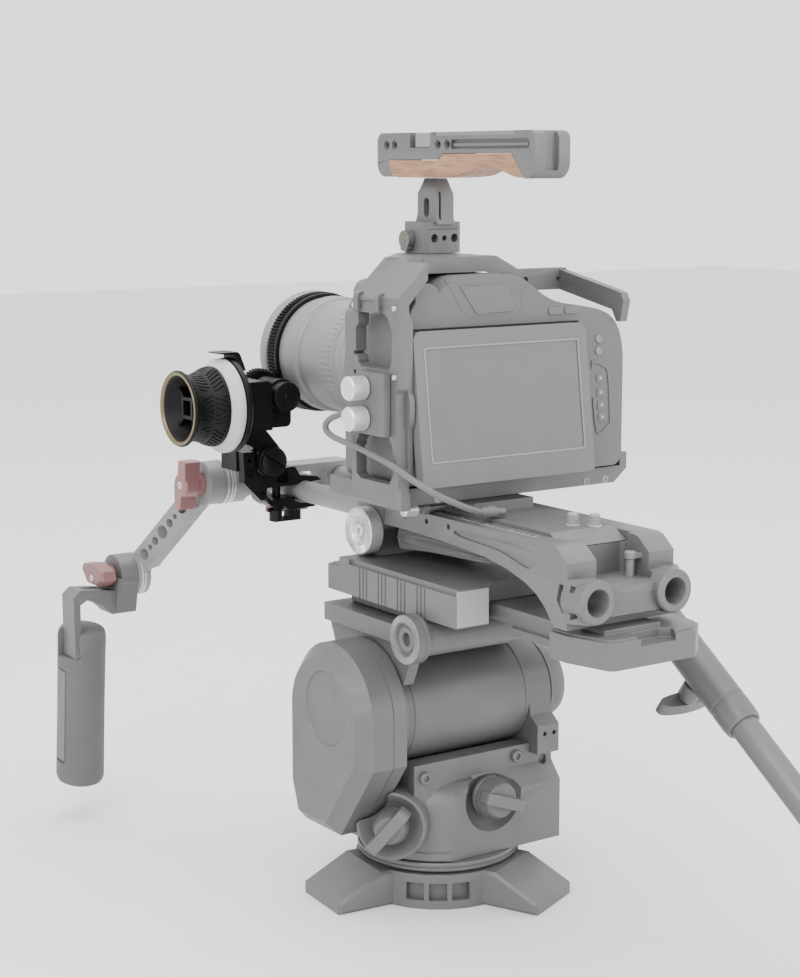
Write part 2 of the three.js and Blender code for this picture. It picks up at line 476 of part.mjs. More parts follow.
// Cage round the camera, with the cable clamp on its left wall
function cage() {
  const { left, inner, bottom, floor, top } = CAGE;
  const wall = prism('y', [[left, bottom + 3], [left + 3, bottom], [104, bottom], [115, 286],
    [115, 297], [109, 297], [109, floor], [inner, floor], [inner, 404], [-58, 421], [-48, 421],
    [-48, top], [-58, top], [left, 408]], -72, 20);
  let frame = cut(wall, box(inner + 1, 120, -80, -58, 270, 330), box(-100, 0, -20, 30, 289, 440),
    box(-100, inner + 1, -20, 30, 270, 300), box(-90, -70, -62, -28, 296, 322),
    box(-90, -70, -58, -28, 366, 398), box(-60, -40, -80, -48, 400, 440),
    prism('z', [[-90, -22], [-55, -22], [-55, -15], [-90, -15]], 398, 440));
  for (let i = 0; i < 6; i += 1) frame = frame.subtract(cyl('x', -24, 312 + 12 * i, 1.6, -90, -70, 10));
  const roof = join(prism('z', [[-60, -27], [-22, 18], [-14, 24], [12, 24], [26, 8], [26, -47],
    [-46, -47], [-58, -40]], 421, top),
    prism('y', [[25, 421], [49, 413.5], [50, 419], [25, top]], -24, -4));
  const rail = join(box(48, 97, -13, -5, 405, 419.5),
    bar([94, -9, 412.5], [103.5, -58, 400], 7, 13), prism('x', [[-56, 396], [-56, 407], [-66, 405],
      [-69, 400], [-66, 386], [-62, 386]], 100, 106));
  add('cage_frame', join(frame, roof, rail), ALLOY);

  add('cable_clamp', cut(box(-88, left - GAP, -64, -34, 323, 362),
    cyl('x', -43, 352, 3.3, -90, -80, 12), cyl('x', -43, 333, 3.3, -90, -80, 12)), ALLOY);
  for (const [name, z] of [['clamp_knob_upper', 352], ['clamp_knob_lower', 333]]) {
    add(name, join(turned('x', -43, z, [[0, -101], [6.8, -101], [7.6, -99.6], [7.6, -88.3], [0, -88.3]],
      24), cyl('x', -43, z, 3, -89, -82.6, 12)), SILVER);
  }
}

// Cable: out of the clamp block, forward in a small loop, then back and down onto the base
const CABLE_ROUTE = [[-85, -33.5, 336], [-85.5, -28, 335.5], [-86.5, -21, 334], [-88.5, -13, 331.5],
  [-90.5, -7, 328.5], [-91.5, -4, 324.5], [-91, -5, 320.5], [-89.5, -10, 317.5], [-88, -18, 315.6],
  [-87, -30, 313.8], [-86.5, -45, 311.5], [-86, -60, 308.5], [-84.5, -72, 305], [-81, -83, 299.5],
  [-76, -91, 294.5], [-70, -95.5, 290], [-62, -97.5, 286], [-53, -97.5, 282], [-44, -96, 278.6],
  [-35, -94, 275.6]];

function cable() {
  const curve = new THREE.CatmullRomCurve3(CABLE_ROUTE.map((p) => new THREE.Vector3(...p)));
  const ring = new THREE.Shape();
  ring.absarc(0, 0, CABLE.r, 0, 2 * Math.PI, false);
  const section = new THREE.Shape(ring.getPoints(4));
  const g = new THREE.ExtrudeGeometry(section, { steps: 44, extrudePath: curve, bevelEnabled: false });
  add('cable', solid(g), GREY_CORD);
  const plug = turned('x', 0, 0, [[0, 0], [2.2, 0], [3.4, 3], [3.6, 11], [2.6, 13], [2.4, 20], [0, 20]], 16);
  add('cable_plug', plug.rotate([0, 6, 8]).translate([-34.6, -93.9, 275.6]), BLACK);
}

// Top handle on its clamp
function topHandle() {
  const { left, right, front, rear, bottom, top } = HANDLE;
  const block = prism('z', [[-15, -4], [-12, -6], [11, -6], [14, -4], [14, 20], [-10, 22], [-15, 18]],
    CAGE.top + GAP, 452);
  const post = prism('x', [[-6, 450], [16, 450], [12, 456], [12, 472], [15, bottom - GAP],
    [-9, bottom - GAP], [-5, 470], [-5, 456]], -7.5, 6.5);
  const holes = [-8, 0, 8].map((x, i) => cyl('y', x, 441, i === 1 ? 1.8 : 2.8, -7, -1, 12));
  add('handle_post', cut(join(block, post), ...holes, box(-3, 2, -10, 20, 458, 470),
    cyl('x', 12, 440, 3.4, -16, -8, 16)), ALLOY);
  add('post_clamp_lever', join(cyl('x', 12, 440, 3, -17, -9, 16), cyl('x', 12, 440, 6, -20, -15.4, 20),
    box(-20, -16, 8, 16, 428 + 4.5, 442)), ALLOY);
  const body = prism('x', [[front - 6, top], [front, top - 5], [front, bottom + 8], [front - 8, bottom + 0.5],
    [33, bottom + 0.5], [37, 491.6], [-20, 491.6], [-24, 495.6], [-96, 495.6], [-110, 479.6],
    [-116, 479.6], [rear, 483], [rear, top - 5], [rear + 6, top]], left, right);
  const slot = box(left - 1, left + 1, -112, -36, 498, 502);
  const tray = box(-9, 6, -11, 11, 504, 510);
  const holesIn = [39, 30, -19, -29].map((y) => cyl('x', y, 501, 2.2, left - 1, left + 6, 12));
  add('top_handle', cut(body, slot, tray, ...holesIn, box(-5, 2, rear - 1, rear + 4, 484, 510)), ALLOY);
  add('wood_grip', prism('x', [[32.4, bottom + 0.8], [36.2, 491.2], [-20.2, 491.2], [-24.2, 495.2],
    [-95.6, 495.2], [-108.4, 480.4], [-96, 482.8], [-80, 485.4], [-62, 483], [-46, 480.4],
    [-30, bottom + 0.2], [-12, bottom + 0.2]], left - 0.5, right + 0.5), WOOD);
}

crown();
panHousing();
tiltBearings();
tiltHead();
panBar();
shoulderBase();
slidePlate();
gripArm();
followFocus();
lens();
camera();
cage();
cable();
topHandle();

export default rig;
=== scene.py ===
import json
import math

import bmesh
import bpy
from mathutils import Matrix, Vector


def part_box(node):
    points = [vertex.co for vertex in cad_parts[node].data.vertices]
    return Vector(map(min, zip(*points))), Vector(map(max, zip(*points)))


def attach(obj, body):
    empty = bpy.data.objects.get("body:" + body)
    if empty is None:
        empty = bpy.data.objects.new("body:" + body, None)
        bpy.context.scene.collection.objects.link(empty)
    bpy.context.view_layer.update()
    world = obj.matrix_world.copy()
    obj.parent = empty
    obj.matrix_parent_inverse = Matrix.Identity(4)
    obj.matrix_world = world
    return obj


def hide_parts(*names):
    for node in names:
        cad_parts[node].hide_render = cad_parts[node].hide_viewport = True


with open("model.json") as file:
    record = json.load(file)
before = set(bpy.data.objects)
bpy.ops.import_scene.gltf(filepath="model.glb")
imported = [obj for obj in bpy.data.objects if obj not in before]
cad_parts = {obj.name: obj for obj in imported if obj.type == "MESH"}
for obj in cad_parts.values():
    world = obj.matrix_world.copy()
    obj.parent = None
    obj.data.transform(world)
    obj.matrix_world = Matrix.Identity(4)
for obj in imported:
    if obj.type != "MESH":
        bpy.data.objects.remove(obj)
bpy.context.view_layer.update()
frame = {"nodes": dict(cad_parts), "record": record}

MM = 0.001
NODES = frame["nodes"]
RECORD = frame["record"]
BODY_OF = {n: b for b, ns in RECORD["behaviour"]["bodies"].items() for n in ns}
SLOT_OF = {p["node"]: p["material_slot"] for p in RECORD["subparts"]}
done = set()          # CAD nodes that already have their final look

# Driving places in millimetres and angles in degrees, the same as in the CAD
TILT_Z = 130
LENS_Z = 355
WHEEL = (120, 325)               # Y, Z of the follow focus wheel
ROD_X, ROD_Z, ROD_HOLE = 30, 259, 7.8
LCD_LEAN = 7.6
LCD_X, LCD_Z, LCD_Y = (-70, 67), (290, 387), -66
MODULE, LENS_TEETH, PINION_TEETH = 0.8, 106, 40
GEAR_ANGLE = 205.9               # where the pinion meets the lens gear
GEAR_GAP = MODULE * (LENS_TEETH + PINION_TEETH) / 2 + 0.4
PINION = (GEAR_GAP * math.cos(math.radians(GEAR_ANGLE)),
    LENS_Z + GEAR_GAP * math.sin(math.radians(GEAR_ANGLE)))

# The picture's own view and light
CAMERA_PLACE = (-0.7533, -1.0491, 0.488)
CAMERA_PITCH, CAMERA_HEADING = 9.39, -34.54
FOCAL_LENGTH = 72.03
WORLD_STRENGTH = 1.9
LIGHTS = [
    # name, place, size, power, aimed at
    ("key", (-1.5, -1.1, 1.9), 1.4, 40, (0, 0, 0.25)),
    ("fill", (1.4, -1.6, 1.0), 1.6, 16, (0, 0, 0.2)),
    ("top", (0.2, 0.3, 2.2), 1.8, 34, (0, 0, 0.2)),
]


# ---------------------------------------------------------------- camera, light and floor

def make_stage():
    scene = bpy.context.scene
    cam = bpy.data.objects.new("camera", bpy.data.cameras.new("camera"))
    scene.collection.objects.link(cam)
    cam.location = CAMERA_PLACE
    cam.rotation_euler = (math.radians(90 - CAMERA_PITCH), 0, math.radians(CAMERA_HEADING))
    cam.data.sensor_width = 36
    cam.data.lens = FOCAL_LENGTH
    cam.data.clip_start = 0.05
    scene.camera = cam

    world = bpy.data.worlds.new("studio")
    world.use_nodes = True
    back = world.node_tree.nodes["Background"]
    back.inputs["Color"].default_value = (1, 1, 1, 1)
    back.inputs["Strength"].default_value = WORLD_STRENGTH
    scene.world = world
    for name, place, size, power, aim in LIGHTS:
        data = bpy.data.lights.new(name, "AREA")
        data.size, data.energy = size, power
        lamp = bpy.data.objects.new(name, data)
        scene.collection.objects.link(lamp)
        lamp.location = place
        lamp.rotation_euler = (Vector(aim) - Vector(place)).to_track_quat("-Z", "Y").to_euler()

    bm = bmesh.new()
    bmesh.ops.create_grid(bm, x_segments=1, y_segments=1, size=6)
    mesh = bpy.data.meshes.new("floor")
    bm.to_mesh(mesh)
    floor = bpy.data.objects.new("floor", mesh)
    scene.collection.objects.link(floor)
    mesh.materials.append(surface("floor_paint", (0.9, 0.9, 0.9), 0.7, vary=0.01, wear=0))


# ---------------------------------------------------------------- materials

def shade(colour, k):
    """A display colour as the linear colour that Blender mixes, made lighter or darker by k."""
    linear = (x / 12.92 if x <= 0.04045 else ((x + 0.055) / 1.055) ** 2.4 for x in colour)
    return tuple(min(1.0, max(0.0, x * k)) for x in linear) + (1.0,)


class Shader:
    """A Principled material with small helpers for its node tree."""

    def __init__(self, name, rough, metallic=0.0):
        self.mat = bpy.data.materials.new(name)
        self.mat.use_nodes = True
        self.tree = self.mat.node_tree
        self.bsdf = self.tree.nodes["Principled BSDF"]
        self.bsdf.inputs["Metallic"].default_value = metallic
        self.bsdf.inputs["Roughness"].default_value = rough
        self.coords = self.node("ShaderNodeTexCoord").outputs["Object"]

    def node(self, kind, **inputs):
        n = self.tree.nodes.new(kind)
        for key, value in inputs.items():
            self.feed(n.inputs[key.replace("_", " ")], value)
        return n

    def feed(self, socket, value):
        if isinstance(value, bpy.types.NodeSocket):
            self.tree.links.new(value, socket)
        else:
            socket.default_value = value

    def stretched(self, scale):
        return self.node("ShaderNodeMapping", Vector=self.coords, Scale=scale).outputs["Vector"]

    def noise(self, scale, detail=3.0, stretch=None):
        source = self.stretched(stretch) if stretch else self.coords
        return self.node("ShaderNodeTexNoise", Vector=source, Scale=scale, Detail=detail).outputs["Fac"]

    def spread(self, value, low, high, start=0.3, end=0.7):
        n = self.node("ShaderNodeMapRange", Value=value)
        for i, x in enumerate((start, end, low, high)):
            n.inputs[i + 1].default_value = x
        return n.outputs["Result"]

    def blend(self, factor, a, b):
        n = self.tree.nodes.new("ShaderNodeMix")
        n.data_type = "RGBA"
        for index, value in ((0, factor), (6, a), (7, b)):
            self.feed(n.inputs[index], value)
        return n.outputs[2]

    def bump(self, height, strength, distance):
        n = self.node("ShaderNodeBump", Strength=strength, Distance=distance, Height=height)
        self.feed(self.bsdf.inputs["Normal"], n.outputs["Normal"])


def surface(name, colour, rough, metallic=0.0, vary=0.05, grain=(1800, 0.06), wear=0.25, stretch=None,
        coat=0.0, gloss=0.5):
    """Painted, anodised or moulded surface: soft colour patches, fine grain, lighter worn edges.

    grain is the scale and the height of the fine bumps, and stretch makes them longer on one axis."""
    s = Shader(name, rough, metallic)
    patches = s.spread(s.noise(26, 4), 0, 1)
    colour_out = s.blend(patches, shade(colour, 1 - vary), shade(colour, 1 + vary))
    if wear:
        edge = s.node("ShaderNodeNewGeometry").outputs["Pointiness"]
        worn = s.spread(edge, 0, wear, 0.52, 0.6)
        colour_out = s.blend(worn, colour_out, shade(colour, 1.6))
    s.feed(s.bsdf.inputs["Base Color"], colour_out)
    fine = s.noise(grain[0], 2, stretch)
    smear = s.noise(60, 3)
    s.feed(s.bsdf.inputs["Roughness"], s.spread(smear, rough - 0.06, rough + 0.08))
    s.bump(fine, grain[1], 0.0004)
    s.bsdf.inputs["Coat Weight"].default_value = coat
    s.bsdf.inputs["Specular IOR Level"].default_value = gloss
    return s.mat


def wood():
    s = Shader("oiled_wood", 0.5)
    grain = s.noise(170, 6, (1.0, 0.09, 1.0))
    ring_node = s.node("ShaderNodeTexWave", Vector=s.stretched((1.0, 0.14, 1.0)), Scale=34, Distortion=8.0,
        Detail=3.0, Detail_Scale=1.4)
    ring_node.bands_direction = "Z"
    rings = ring_node.outputs["Fac"]
    pores = s.noise(900, 3, (1.0, 0.06, 1.0))
    base = s.blend(s.spread(grain, 0, 1), shade((0.53, 0.38, 0.28), 1), shade((0.69, 0.54, 0.43), 1))
    streaked = s.blend(s.spread(rings, 0, 0.4, 0.45, 0.95), base, shade((0.50, 0.35, 0.25), 1))
    dark = s.blend(s.spread(pores, 0.6, 0, 0.34, 0.48), streaked, shade((0.42, 0.29, 0.21), 1))
    s.feed(s.bsdf.inputs["Base Color"], dark)
    s.feed(s.bsdf.inputs["Roughness"], s.spread(pores, 0.62, 0.46))
    s.bump(pores, 0.25, 0.0003)
    return s.mat


def fabric():
    s = Shader("woven_cover", 0.9)
    warp = s.node("ShaderNodeTexWave", Vector=s.coords, Scale=420, Distortion=0.4).outputs["Fac"]
    weft_node = s.node("ShaderNodeTexWave", Vector=s.coords, Scale=420, Distortion=0.4)
    weft_node.bands_direction = "Y"
    weave = s.node("ShaderNodeMath", Value=warp)
    weave.operation = "MULTIPLY"
    s.feed(weave.inputs[1], weft_node.outputs["Fac"])
    colour = s.blend(weave.outputs[0], shade((0.30, 0.30, 0.30), 1), shade((0.40, 0.40, 0.40), 1))
    s.feed(s.bsdf.inputs["Base Color"], colour)
    s.bsdf.inputs["Sheen Weight"].default_value = 0.3
    s.bump(weave.outputs[0], 0.5, 0.0004)
    return s.mat


def make_materials():
    grey = (0.37, 0.37, 0.37)
    return {"grey_alloy": surface("satin_alloy", grey, 0.46, 0.25),
        "pale_alloy": surface("blasted_alloy", (0.50, 0.50, 0.50), 0.5, 0.25, grain=(2600, 0.12)),
        "bright_metal": surface("turned_steel", (0.84, 0.84, 0.84), 0.36, 0.6, vary=0.02,
            stretch=(0.08, 1, 1), wear=0), "knurled_face": surface("knurled_face", (0.50, 0.50, 0.50), 0.5,
            0.2, grain=(1100, 1.0), wear=0.5), "pale_face": surface("pale_face", (0.60, 0.60, 0.60), 0.45,
            0.1, wear=0.1), "camera_plastic": surface("moulded_body", grey, 0.55, grain=(5200, 0.35),
            vary=0.03, wear=0.12), "screen": surface("screen_frame", grey, 0.5, grain=(4200, 0.2),
            vary=0.02), "grip_rubber": surface("grip_rubber", (0.34, 0.34, 0.34), 0.72, grain=(3800, 0.5),
            vary=0.05), "pad_foam": fabric(), "pink_anodised": surface("pink_anodised", (0.50, 0.355, 0.36),
            0.42, 0.3, wear=0.35), "black_anodised": surface("black_anodised", (0.035, 0.035, 0.037), 0.42,
            0.0, wear=0.25, gloss=0.22), "black_plastic": surface("black_moulding", (0.022, 0.022, 0.023),
            0.5, grain=(3600, 0.3), wear=0.6, gloss=0.22),
        "white_disk": surface("marking_white", (0.70, 0.70, 0.70), 0.42, vary=0.02, wear=0), "wood": wood(),
        "cord_jacket": surface("cord_jacket", (0.38, 0.38, 0.38), 0.6, grain=(3000, 0.2), wear=0),
        "gold": surface("champagne_gold", (0.44, 0.39, 0.30), 0.32, 0.75, vary=0.03, wear=0.3,
            stretch=(1, 0.2, 0.2)), "glass": surface("screen_glass", (0.34, 0.34, 0.34), 0.34, vary=0.02,
            grain=(90, 0.01), wear=0, coat=0.12), "lens_glass": surface("coated_glass", (0.02, 0.022, 0.03),
            0.12, vary=0.1, grain=(60, 0.0), wear=0, coat=0.25),}


# ---------------------------------------------------------------- mesh helpers

def axes(axis):
    """Directions of a solid's length and of its two other sides, for a solid along this axis."""
    return {"x": (Vector((1, 0, 0)), Vector((0, 1, 0)), Vector((0, 0, 1))),
        "y": (Vector((0, 1, 0)), Vector((1, 0, 0)), Vector((0, 0, 1))),
        "z": (Vector((0, 0, 1)), Vector((1, 0, 0)), Vector((0, 1, 0)))}[axis]


def to_object(bm, name="part"):
    bmesh.ops.remove_doubles(bm, verts=bm.verts, dist=1e-6)
    bmesh.ops.recalc_face_normals(bm, faces=bm.faces)
    mesh = bpy.data.meshes.new(name)
    bm.to_mesh(mesh)
    bm.free()
    obj = bpy.data.objects.new(name, mesh)
    bpy.context.scene.collection.objects.link(obj)
    return obj


def skin(bm, rings):
    """Faces between neighbouring rings of vertices; a ring of one vertex is a pole."""
    for low, high in zip(rings, rings[1:]):
        for i in range(max(len(low), len(high))):
            corners = [low[i % len(low)], low[(i + 1) % len(low)], high[(i + 1) % len(high)],
                high[i % len(high)]]
            corners = list(dict.fromkeys(corners))
            if len(corners) > 2:
                bm.faces.new(corners)


def lathe(axis, u, v, profile, sides=96):
    """Profile of (radius, place along the axis) pairs in mm, turned round the axis through u, v.

    An open end off the axis is closed by a flat face."""
    along, side, up = axes(axis)
    if profile[0] != profile[-1]:
        start, end = ([(0, a)] if r else [] for r, a in (profile[0], profile[-1]))
        profile = start + profile + end
    bm = bmesh.new()
    rings = []
    for r, a in profile:
        centre = along * a + side * u + up * v
        if r < 1e-6:
            rings.append([bm.verts.new(centre * MM)])
            continue
        rings.append([bm.verts.new((centre + side * r * math.cos(t) + up * r * math.sin(t)) * MM)
                for t in (2 * math.pi * i / sides for i in range(sides))])
    skin(bm, rings)
    return to_object(bm)


def hoop(axis, u, v, profile, sides=96):
    """Lathe of a closed outline that keeps clear of the axis."""
    return lathe(axis, u, v, profile + profile[:1], sides)


def rod(axis, u, v, r, a, b, sides=64):
    return lathe(axis, u, v, [(r, a), (r, b)], sides)


def closed_skin(bm, rings):
    """A solid from rings of vertices, with a flat face at each end."""
    skin(bm, rings)
    bm.faces.new(rings[0])
    bm.faces.new(rings[-1])
    return to_object(bm)


def prism(axis, points, a, b):
    """Outline of (side, up) points in mm, pushed along the axis from a to b."""
    along, side, up = axes(axis)
    bm = bmesh.new()
    low, high = ([bm.verts.new((along * w + side * p + up * q) * MM) for p, q in points] for w in (a, b))
    return closed_skin(bm, [low, high])


def block(x0, x1, y0, y1, z0, z1):
    return prism("z", [(x0, y0), (x1, y0), (x1, y1), (x0, y1)], z0, z1)


def arc(cu, cv, r, start, end, steps=8):
    """Points on an arc, from start to end in degrees."""
    angles = (math.radians(start + (end - start) * i / steps) for i in range(steps + 1))
    return [(cu + r * math.cos(t), cv + r * math.sin(t)) for t in angles]


def rounded(x0, x1, y0, y1, r, steps=6):
    """Rounded rectangle as (side, up) points."""
    return [p for cx, cy, start in ((x1 - r, y1 - r, 0), (x0 + r, y1 - r, 90), (x0 + r, y0 + r, 180),
            (x1 - r, y0 + r, 270)) for p in arc(cx, cy, r, start, start + 90, steps)]


def round_block(axis, u0, u1, v0, v1, r, a, b):
    """Rounded rectangle, pushed along the axis from a to b."""
    return prism(axis, rounded(u0, u1, v0, v1, r), a, b)


def spline(a, b, c, d, f):
    """Point on the smooth curve from b to c, at the fraction f of the way."""
    a, b, c, d = (Vector(p) for p in (a, b, c, d))
    return 0.5 * (2 * b + (c - a) * f + (2 * a - 5 * b + 4 * c - d) * f ** 2 + (3 * b - a - 3 * c + d)
        * f ** 3)


def catmull(points, t):
    """Point on the smooth curve through the points; t runs from 0 to 1 along the whole curve."""
    place = t * (len(points) - 1)
    i = min(int(place), len(points) - 2)
    return spline(*(points[min(max(i + k, 0), len(points) - 1)] for k in (-1, 0, 1, 2)), place - i)


def flowing(points, steps):
    """The smooth curve through (side, up) points, as steps + 1 points."""
    curve = (catmull([(p, q, 0) for p, q in points], i / steps) for i in range(steps + 1))
    return [(p.x, p.y) for p in curve]


def smooth_outline(points, per=8):
    """Closed smooth curve through (side, up) points, with this many steps between two of them."""
    n = len(points)
    curve = (spline(*((*points[(i + k) % n], 0) for k in (-1, 0, 1, 2)), j / per) for i in range(n)
        for j in range(per))
    return [(p.x, p.y) for p in curve]


def turn(obj, axis, degrees, pivot):
    """Turns a piece round an axis through the pivot, in mm."""
    to, back = Matrix.Translation(Vector(pivot) * MM), Matrix.Translation(-Vector(pivot) * MM)
    obj.data.transform(to @ Matrix.Rotation(math.radians(degrees), 4, axis.upper()) @ back)
    return obj


def move(obj, x, y, z):
    obj.data.transform(Matrix.Translation(Vector((x, y, z)) * MM))
    return obj


def bake(obj):
    """Applies the modifiers of a piece."""
    graph = bpy.context.evaluated_depsgraph_get()
    mesh = bpy.data.meshes.new_from_object(obj.evaluated_get(graph))
    obj.modifiers.clear()
    old, obj.data = obj.data, mesh
    bpy.data.meshes.remove(old)
    return obj


def combine(operation, first, others):
    for other in others:
        mod = first.modifiers.new("boolean", "BOOLEAN")
        mod.operation, mod.object, mod.solver = operation, other, "MANIFOLD"
    bake(first)
    for other in others:
        mesh = other.data
        bpy.data.objects.remove(other)
        bpy.data.meshes.remove(mesh)
    return first


def join(first, *others):
    return combine("UNION", first, others)


def cut(first, *others):
    return combine("DIFFERENCE", first, others)


def copy_of(node):
    """A free copy of a CAD node's mesh, with its flat faces made whole."""
    bm = bmesh.new()
    bm.from_mesh(NODES[node].data)
    bmesh.ops.remove_doubles(bm, verts=bm.verts, dist=2e-6)
    bmesh.ops.dissolve_limit(bm, angle_limit=math.radians(0.6), verts=bm.verts, edges=bm.edges)
    return to_object(bm, node)


def dress(obj, name, look, body, slot, soft, angle, node=None):
    """Gives a mesh its name, rounded edges, material and body. soft is the edge radius in mm."""
    obj.name = obj.data.name = name
    obj.data.materials.clear()
    obj.data.materials.append(LOOK[look])
    obj.data.shade_smooth()
    obj.data.set_sharp_from_angle(angle=math.radians(angle))
    if soft:
        mod = obj.modifiers.new("soft_edges", "BEVEL")
        mod.width, mod.segments, mod.limit_method = soft * MM, 2, "ANGLE"
        mod.angle_limit, mod.use_clamp_overlap, mod.harden_normals = math.radians(angle), True, True
        mod.miter_outer = "MITER_ARC"
    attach(obj, body)
    if node:
        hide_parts(node)
        done.add(node)
    return obj


def piece(obj, name, node, look=None, soft=0.0, angle=32):
    """A mesh that stands for a CAD node, on the node's body.

    The look is the slot's own unless one is given."""
    slot = SLOT_OF[node]
    return dress(obj, name, look or slot, BODY_OF[node], slot, soft, angle, node)


def extra(obj, name, body, look="grey_alloy", soft=0.0, angle=32, slot=None):
    """A mesh that has no CAD node of its own. Its slot, the look's or else the alloy's, is worked out but
    not used.
    """
    slot = slot or (look if look in SLOT_OF.values() else "grey_alloy")
    return dress(obj, name, look, body, slot, soft, angle)


def refine(node, soft=0.5, angle=32):
    """A CAD node with its true shape, rounded edges and its slot's material."""
    return piece(copy_of(node), node + "_finished", node, soft=soft, angle=angle)


def sweep(path, radius, sides=20):
    """Round tube along points in metres, closed at both ends."""
    bm = bmesh.new()
    rings, normal = [], Vector((0, 0, 1))
    for i, p in enumerate(path):
        ahead = (path[min(i + 1, len(path) - 1)] - path[max(i - 1, 0)]).normalized()
        normal = (normal - ahead * normal.dot(ahead)).normalized()
        side = ahead.cross(normal)
        rings.append([bm.verts.new(p + (normal * math.cos(a) + side * math.sin(a)) * radius)
                for a in (2 * math.pi * k / sides for k in range(sides))])
    return closed_skin(bm, rings)


def ribbed(axis, u, v, profile, depth, count, rows, fill=0.5, sides=None):
    """Lathe whose radius drops by depth in grooves: rows tells how far each ring takes part."""
    obj = lathe(axis, u, v, profile, sides or count * 8)
    along, side, up = axes(axis)
    centre = (side * u + up * v) * MM
    for vert in obj.data.vertices:
        p = vert.co - centre
        a, r = p.dot(along), p - along * p.dot(along)
        if r.length < 1e-6:
            continue
        turn_at = math.atan2(r.dot(up), r.dot(side)) / (2 * math.pi) * count
        if 0.5 + 0.5 * math.cos(2 * math.pi * turn_at) < 1 - fill:
            vert.co -= r.normalized() * depth * MM * rows(a / MM)
    return obj


def rosette(axis, u, v, face, toward, r=15.9, teeth=60, inner=9.0, height=1.0):
    """Toothed joint face: a thin ring with radial teeth; toward is +1 or -1 along the axis."""
    along, side, up = axes(axis)
    bm = bmesh.new()
    rings = []
    sides = teeth * 2
    for radius, level in ((inner, -0.6), (inner, 0.0), (inner + 0.5, 1.0), (r - 0.3, 1.0), (r, 0.2),
            (r, -0.6)):
        ring = []
        for i in range(sides):
            a = 2 * math.pi * i / sides
            lift = level if level < 0.5 else (1.0 if i % 2 else 0.0)
            ring.append(bm.verts.new((along * (face + toward * lift * height) + side
                    * (u + radius * math.cos(a)) + up * (v + radius * math.sin(a))) * MM))
        rings.append(ring)
    skin(bm, rings + rings[:1])
    return to_object(bm)


def hex_screw(axis, u, v, face, toward, r=3.0):
    """Socket cap screw head that stands on a face."""
    f, t = face, toward
    return lathe(axis, u, v, [(r, f), (r, f + t * r * 0.75), (r * 0.9, f + t * r * 0.9),
            (r * 0.6, f + t * r * 0.9), (r * 0.52, f + t * r * 0.82), (r * 0.5, f + t * r * 0.3)], 32)


def gear(teeth, module, bore, y0, y1, x, z, first):
    """Spur gear with rounded teeth round a Y axis."""
    pitch = module * teeth / 2
    outline = []
    for i in range(teeth):
        mid = math.radians(first) + 2 * math.pi * i / teeth
        for r, w in ((pitch - 1.2 * module, -0.70), (pitch, -0.42), (pitch + 0.75 * module, -0.26),
                (pitch + module, -0.14), (pitch + module, 0.14), (pitch + 0.75 * module, 0.26),
                (pitch, 0.42), (pitch - 1.2 * module, 0.70)):
            a = mid + w / r
            outline.append((x + r * math.cos(a), z + r * math.sin(a)))
    body = prism("y", outline, y0, y1)
    return cut(body, rod("y", x, z, bore, y0 - 1, y1 + 1, 128)) if bore else body


def knurled(name, u, v, node, r, end, start):
    """Silver thumb knob that points to -X: a knurled side, a bevelled rim and a dished end."""
    profile = [(0, start), (r - 0.6, start), (r, start - 0.6)]
    profile += [(r, start - 1.2 - i * (start - end - 3.2) / 8) for i in range(9)]
    profile += [(r, end + 1.4), (r - 0.9, end + 0.2), (r - 1.6, end), (r - 2.2, end + 0.5), (0, end + 0.5)]
    knob = ribbed("x", u, v, profile, 0.35, 44, lambda p: end + 1.9 < p < start - 1.0, 0.6)
    return piece(knob, name, node, angle=30)


LOOK = make_materials()
make_stage()


# ---------------------------------------------------------------- pieces

CABLE_ROUTE = [tuple(c * MM for c in p) for p in [(-85, -33.5, 336), (-85.5, -28, 335.5), (-86.5, -21, 334),
        (-88.5, -13, 331.5), (-90.5, -7, 328.5), (-91.5, -4, 324.5), (-91, -5, 320.5), (-89.5, -10, 317.5),
        (-88, -18, 315.6), (-87, -30, 313.8), (-86.5, -45, 311.5), (-86, -60, 308.5), (-84.5, -72, 305),
        (-81, -83, 299.5), (-76, -91, 294.5), (-70, -95.5, 290), (-62, -97.5, 286), (-53, -97.5, 282),
        (-44, -96, 278.6), (-35, -94, 275.6)]]


def free_cable():
    steps = 160
    path = [catmull(CABLE_ROUTE, i / steps) for i in range(steps + 1)]
    cord = piece(sweep(path, 0.002), "free_cable", "cable")
    plug = lathe("x", 0, 0, [(2.2, 0), (2.6, 0.8), (3.0, 2.2), (2.5, 2.8), (3.3, 3.4), (2.7, 4.2), (3.6, 5),
            (3.7, 11), (3.2, 12.6), (2.5, 13), (2.4, 20), (1.6, 20.2), (1.6, 16)], 40)
    plug.data.transform(Matrix.Rotation(math.radians(8), 4, "Z") @ Matrix.Rotation(math.radians(6), 4, "Y"))
    move(plug, -34.6, -93.9, 275.6)
    piece(plug, "cable_end_plug", "cable_plug", "cord_jacket")
    exit_sleeve = hoop("y", -85, 336, [(2.1, -36), (3.4, -36), (3.2, -32), (2.5, -27.5), (2.1, -27.5)], 32)
    extra(exit_sleeve, "cable_exit_sleeve", "camera", "black_plastic")


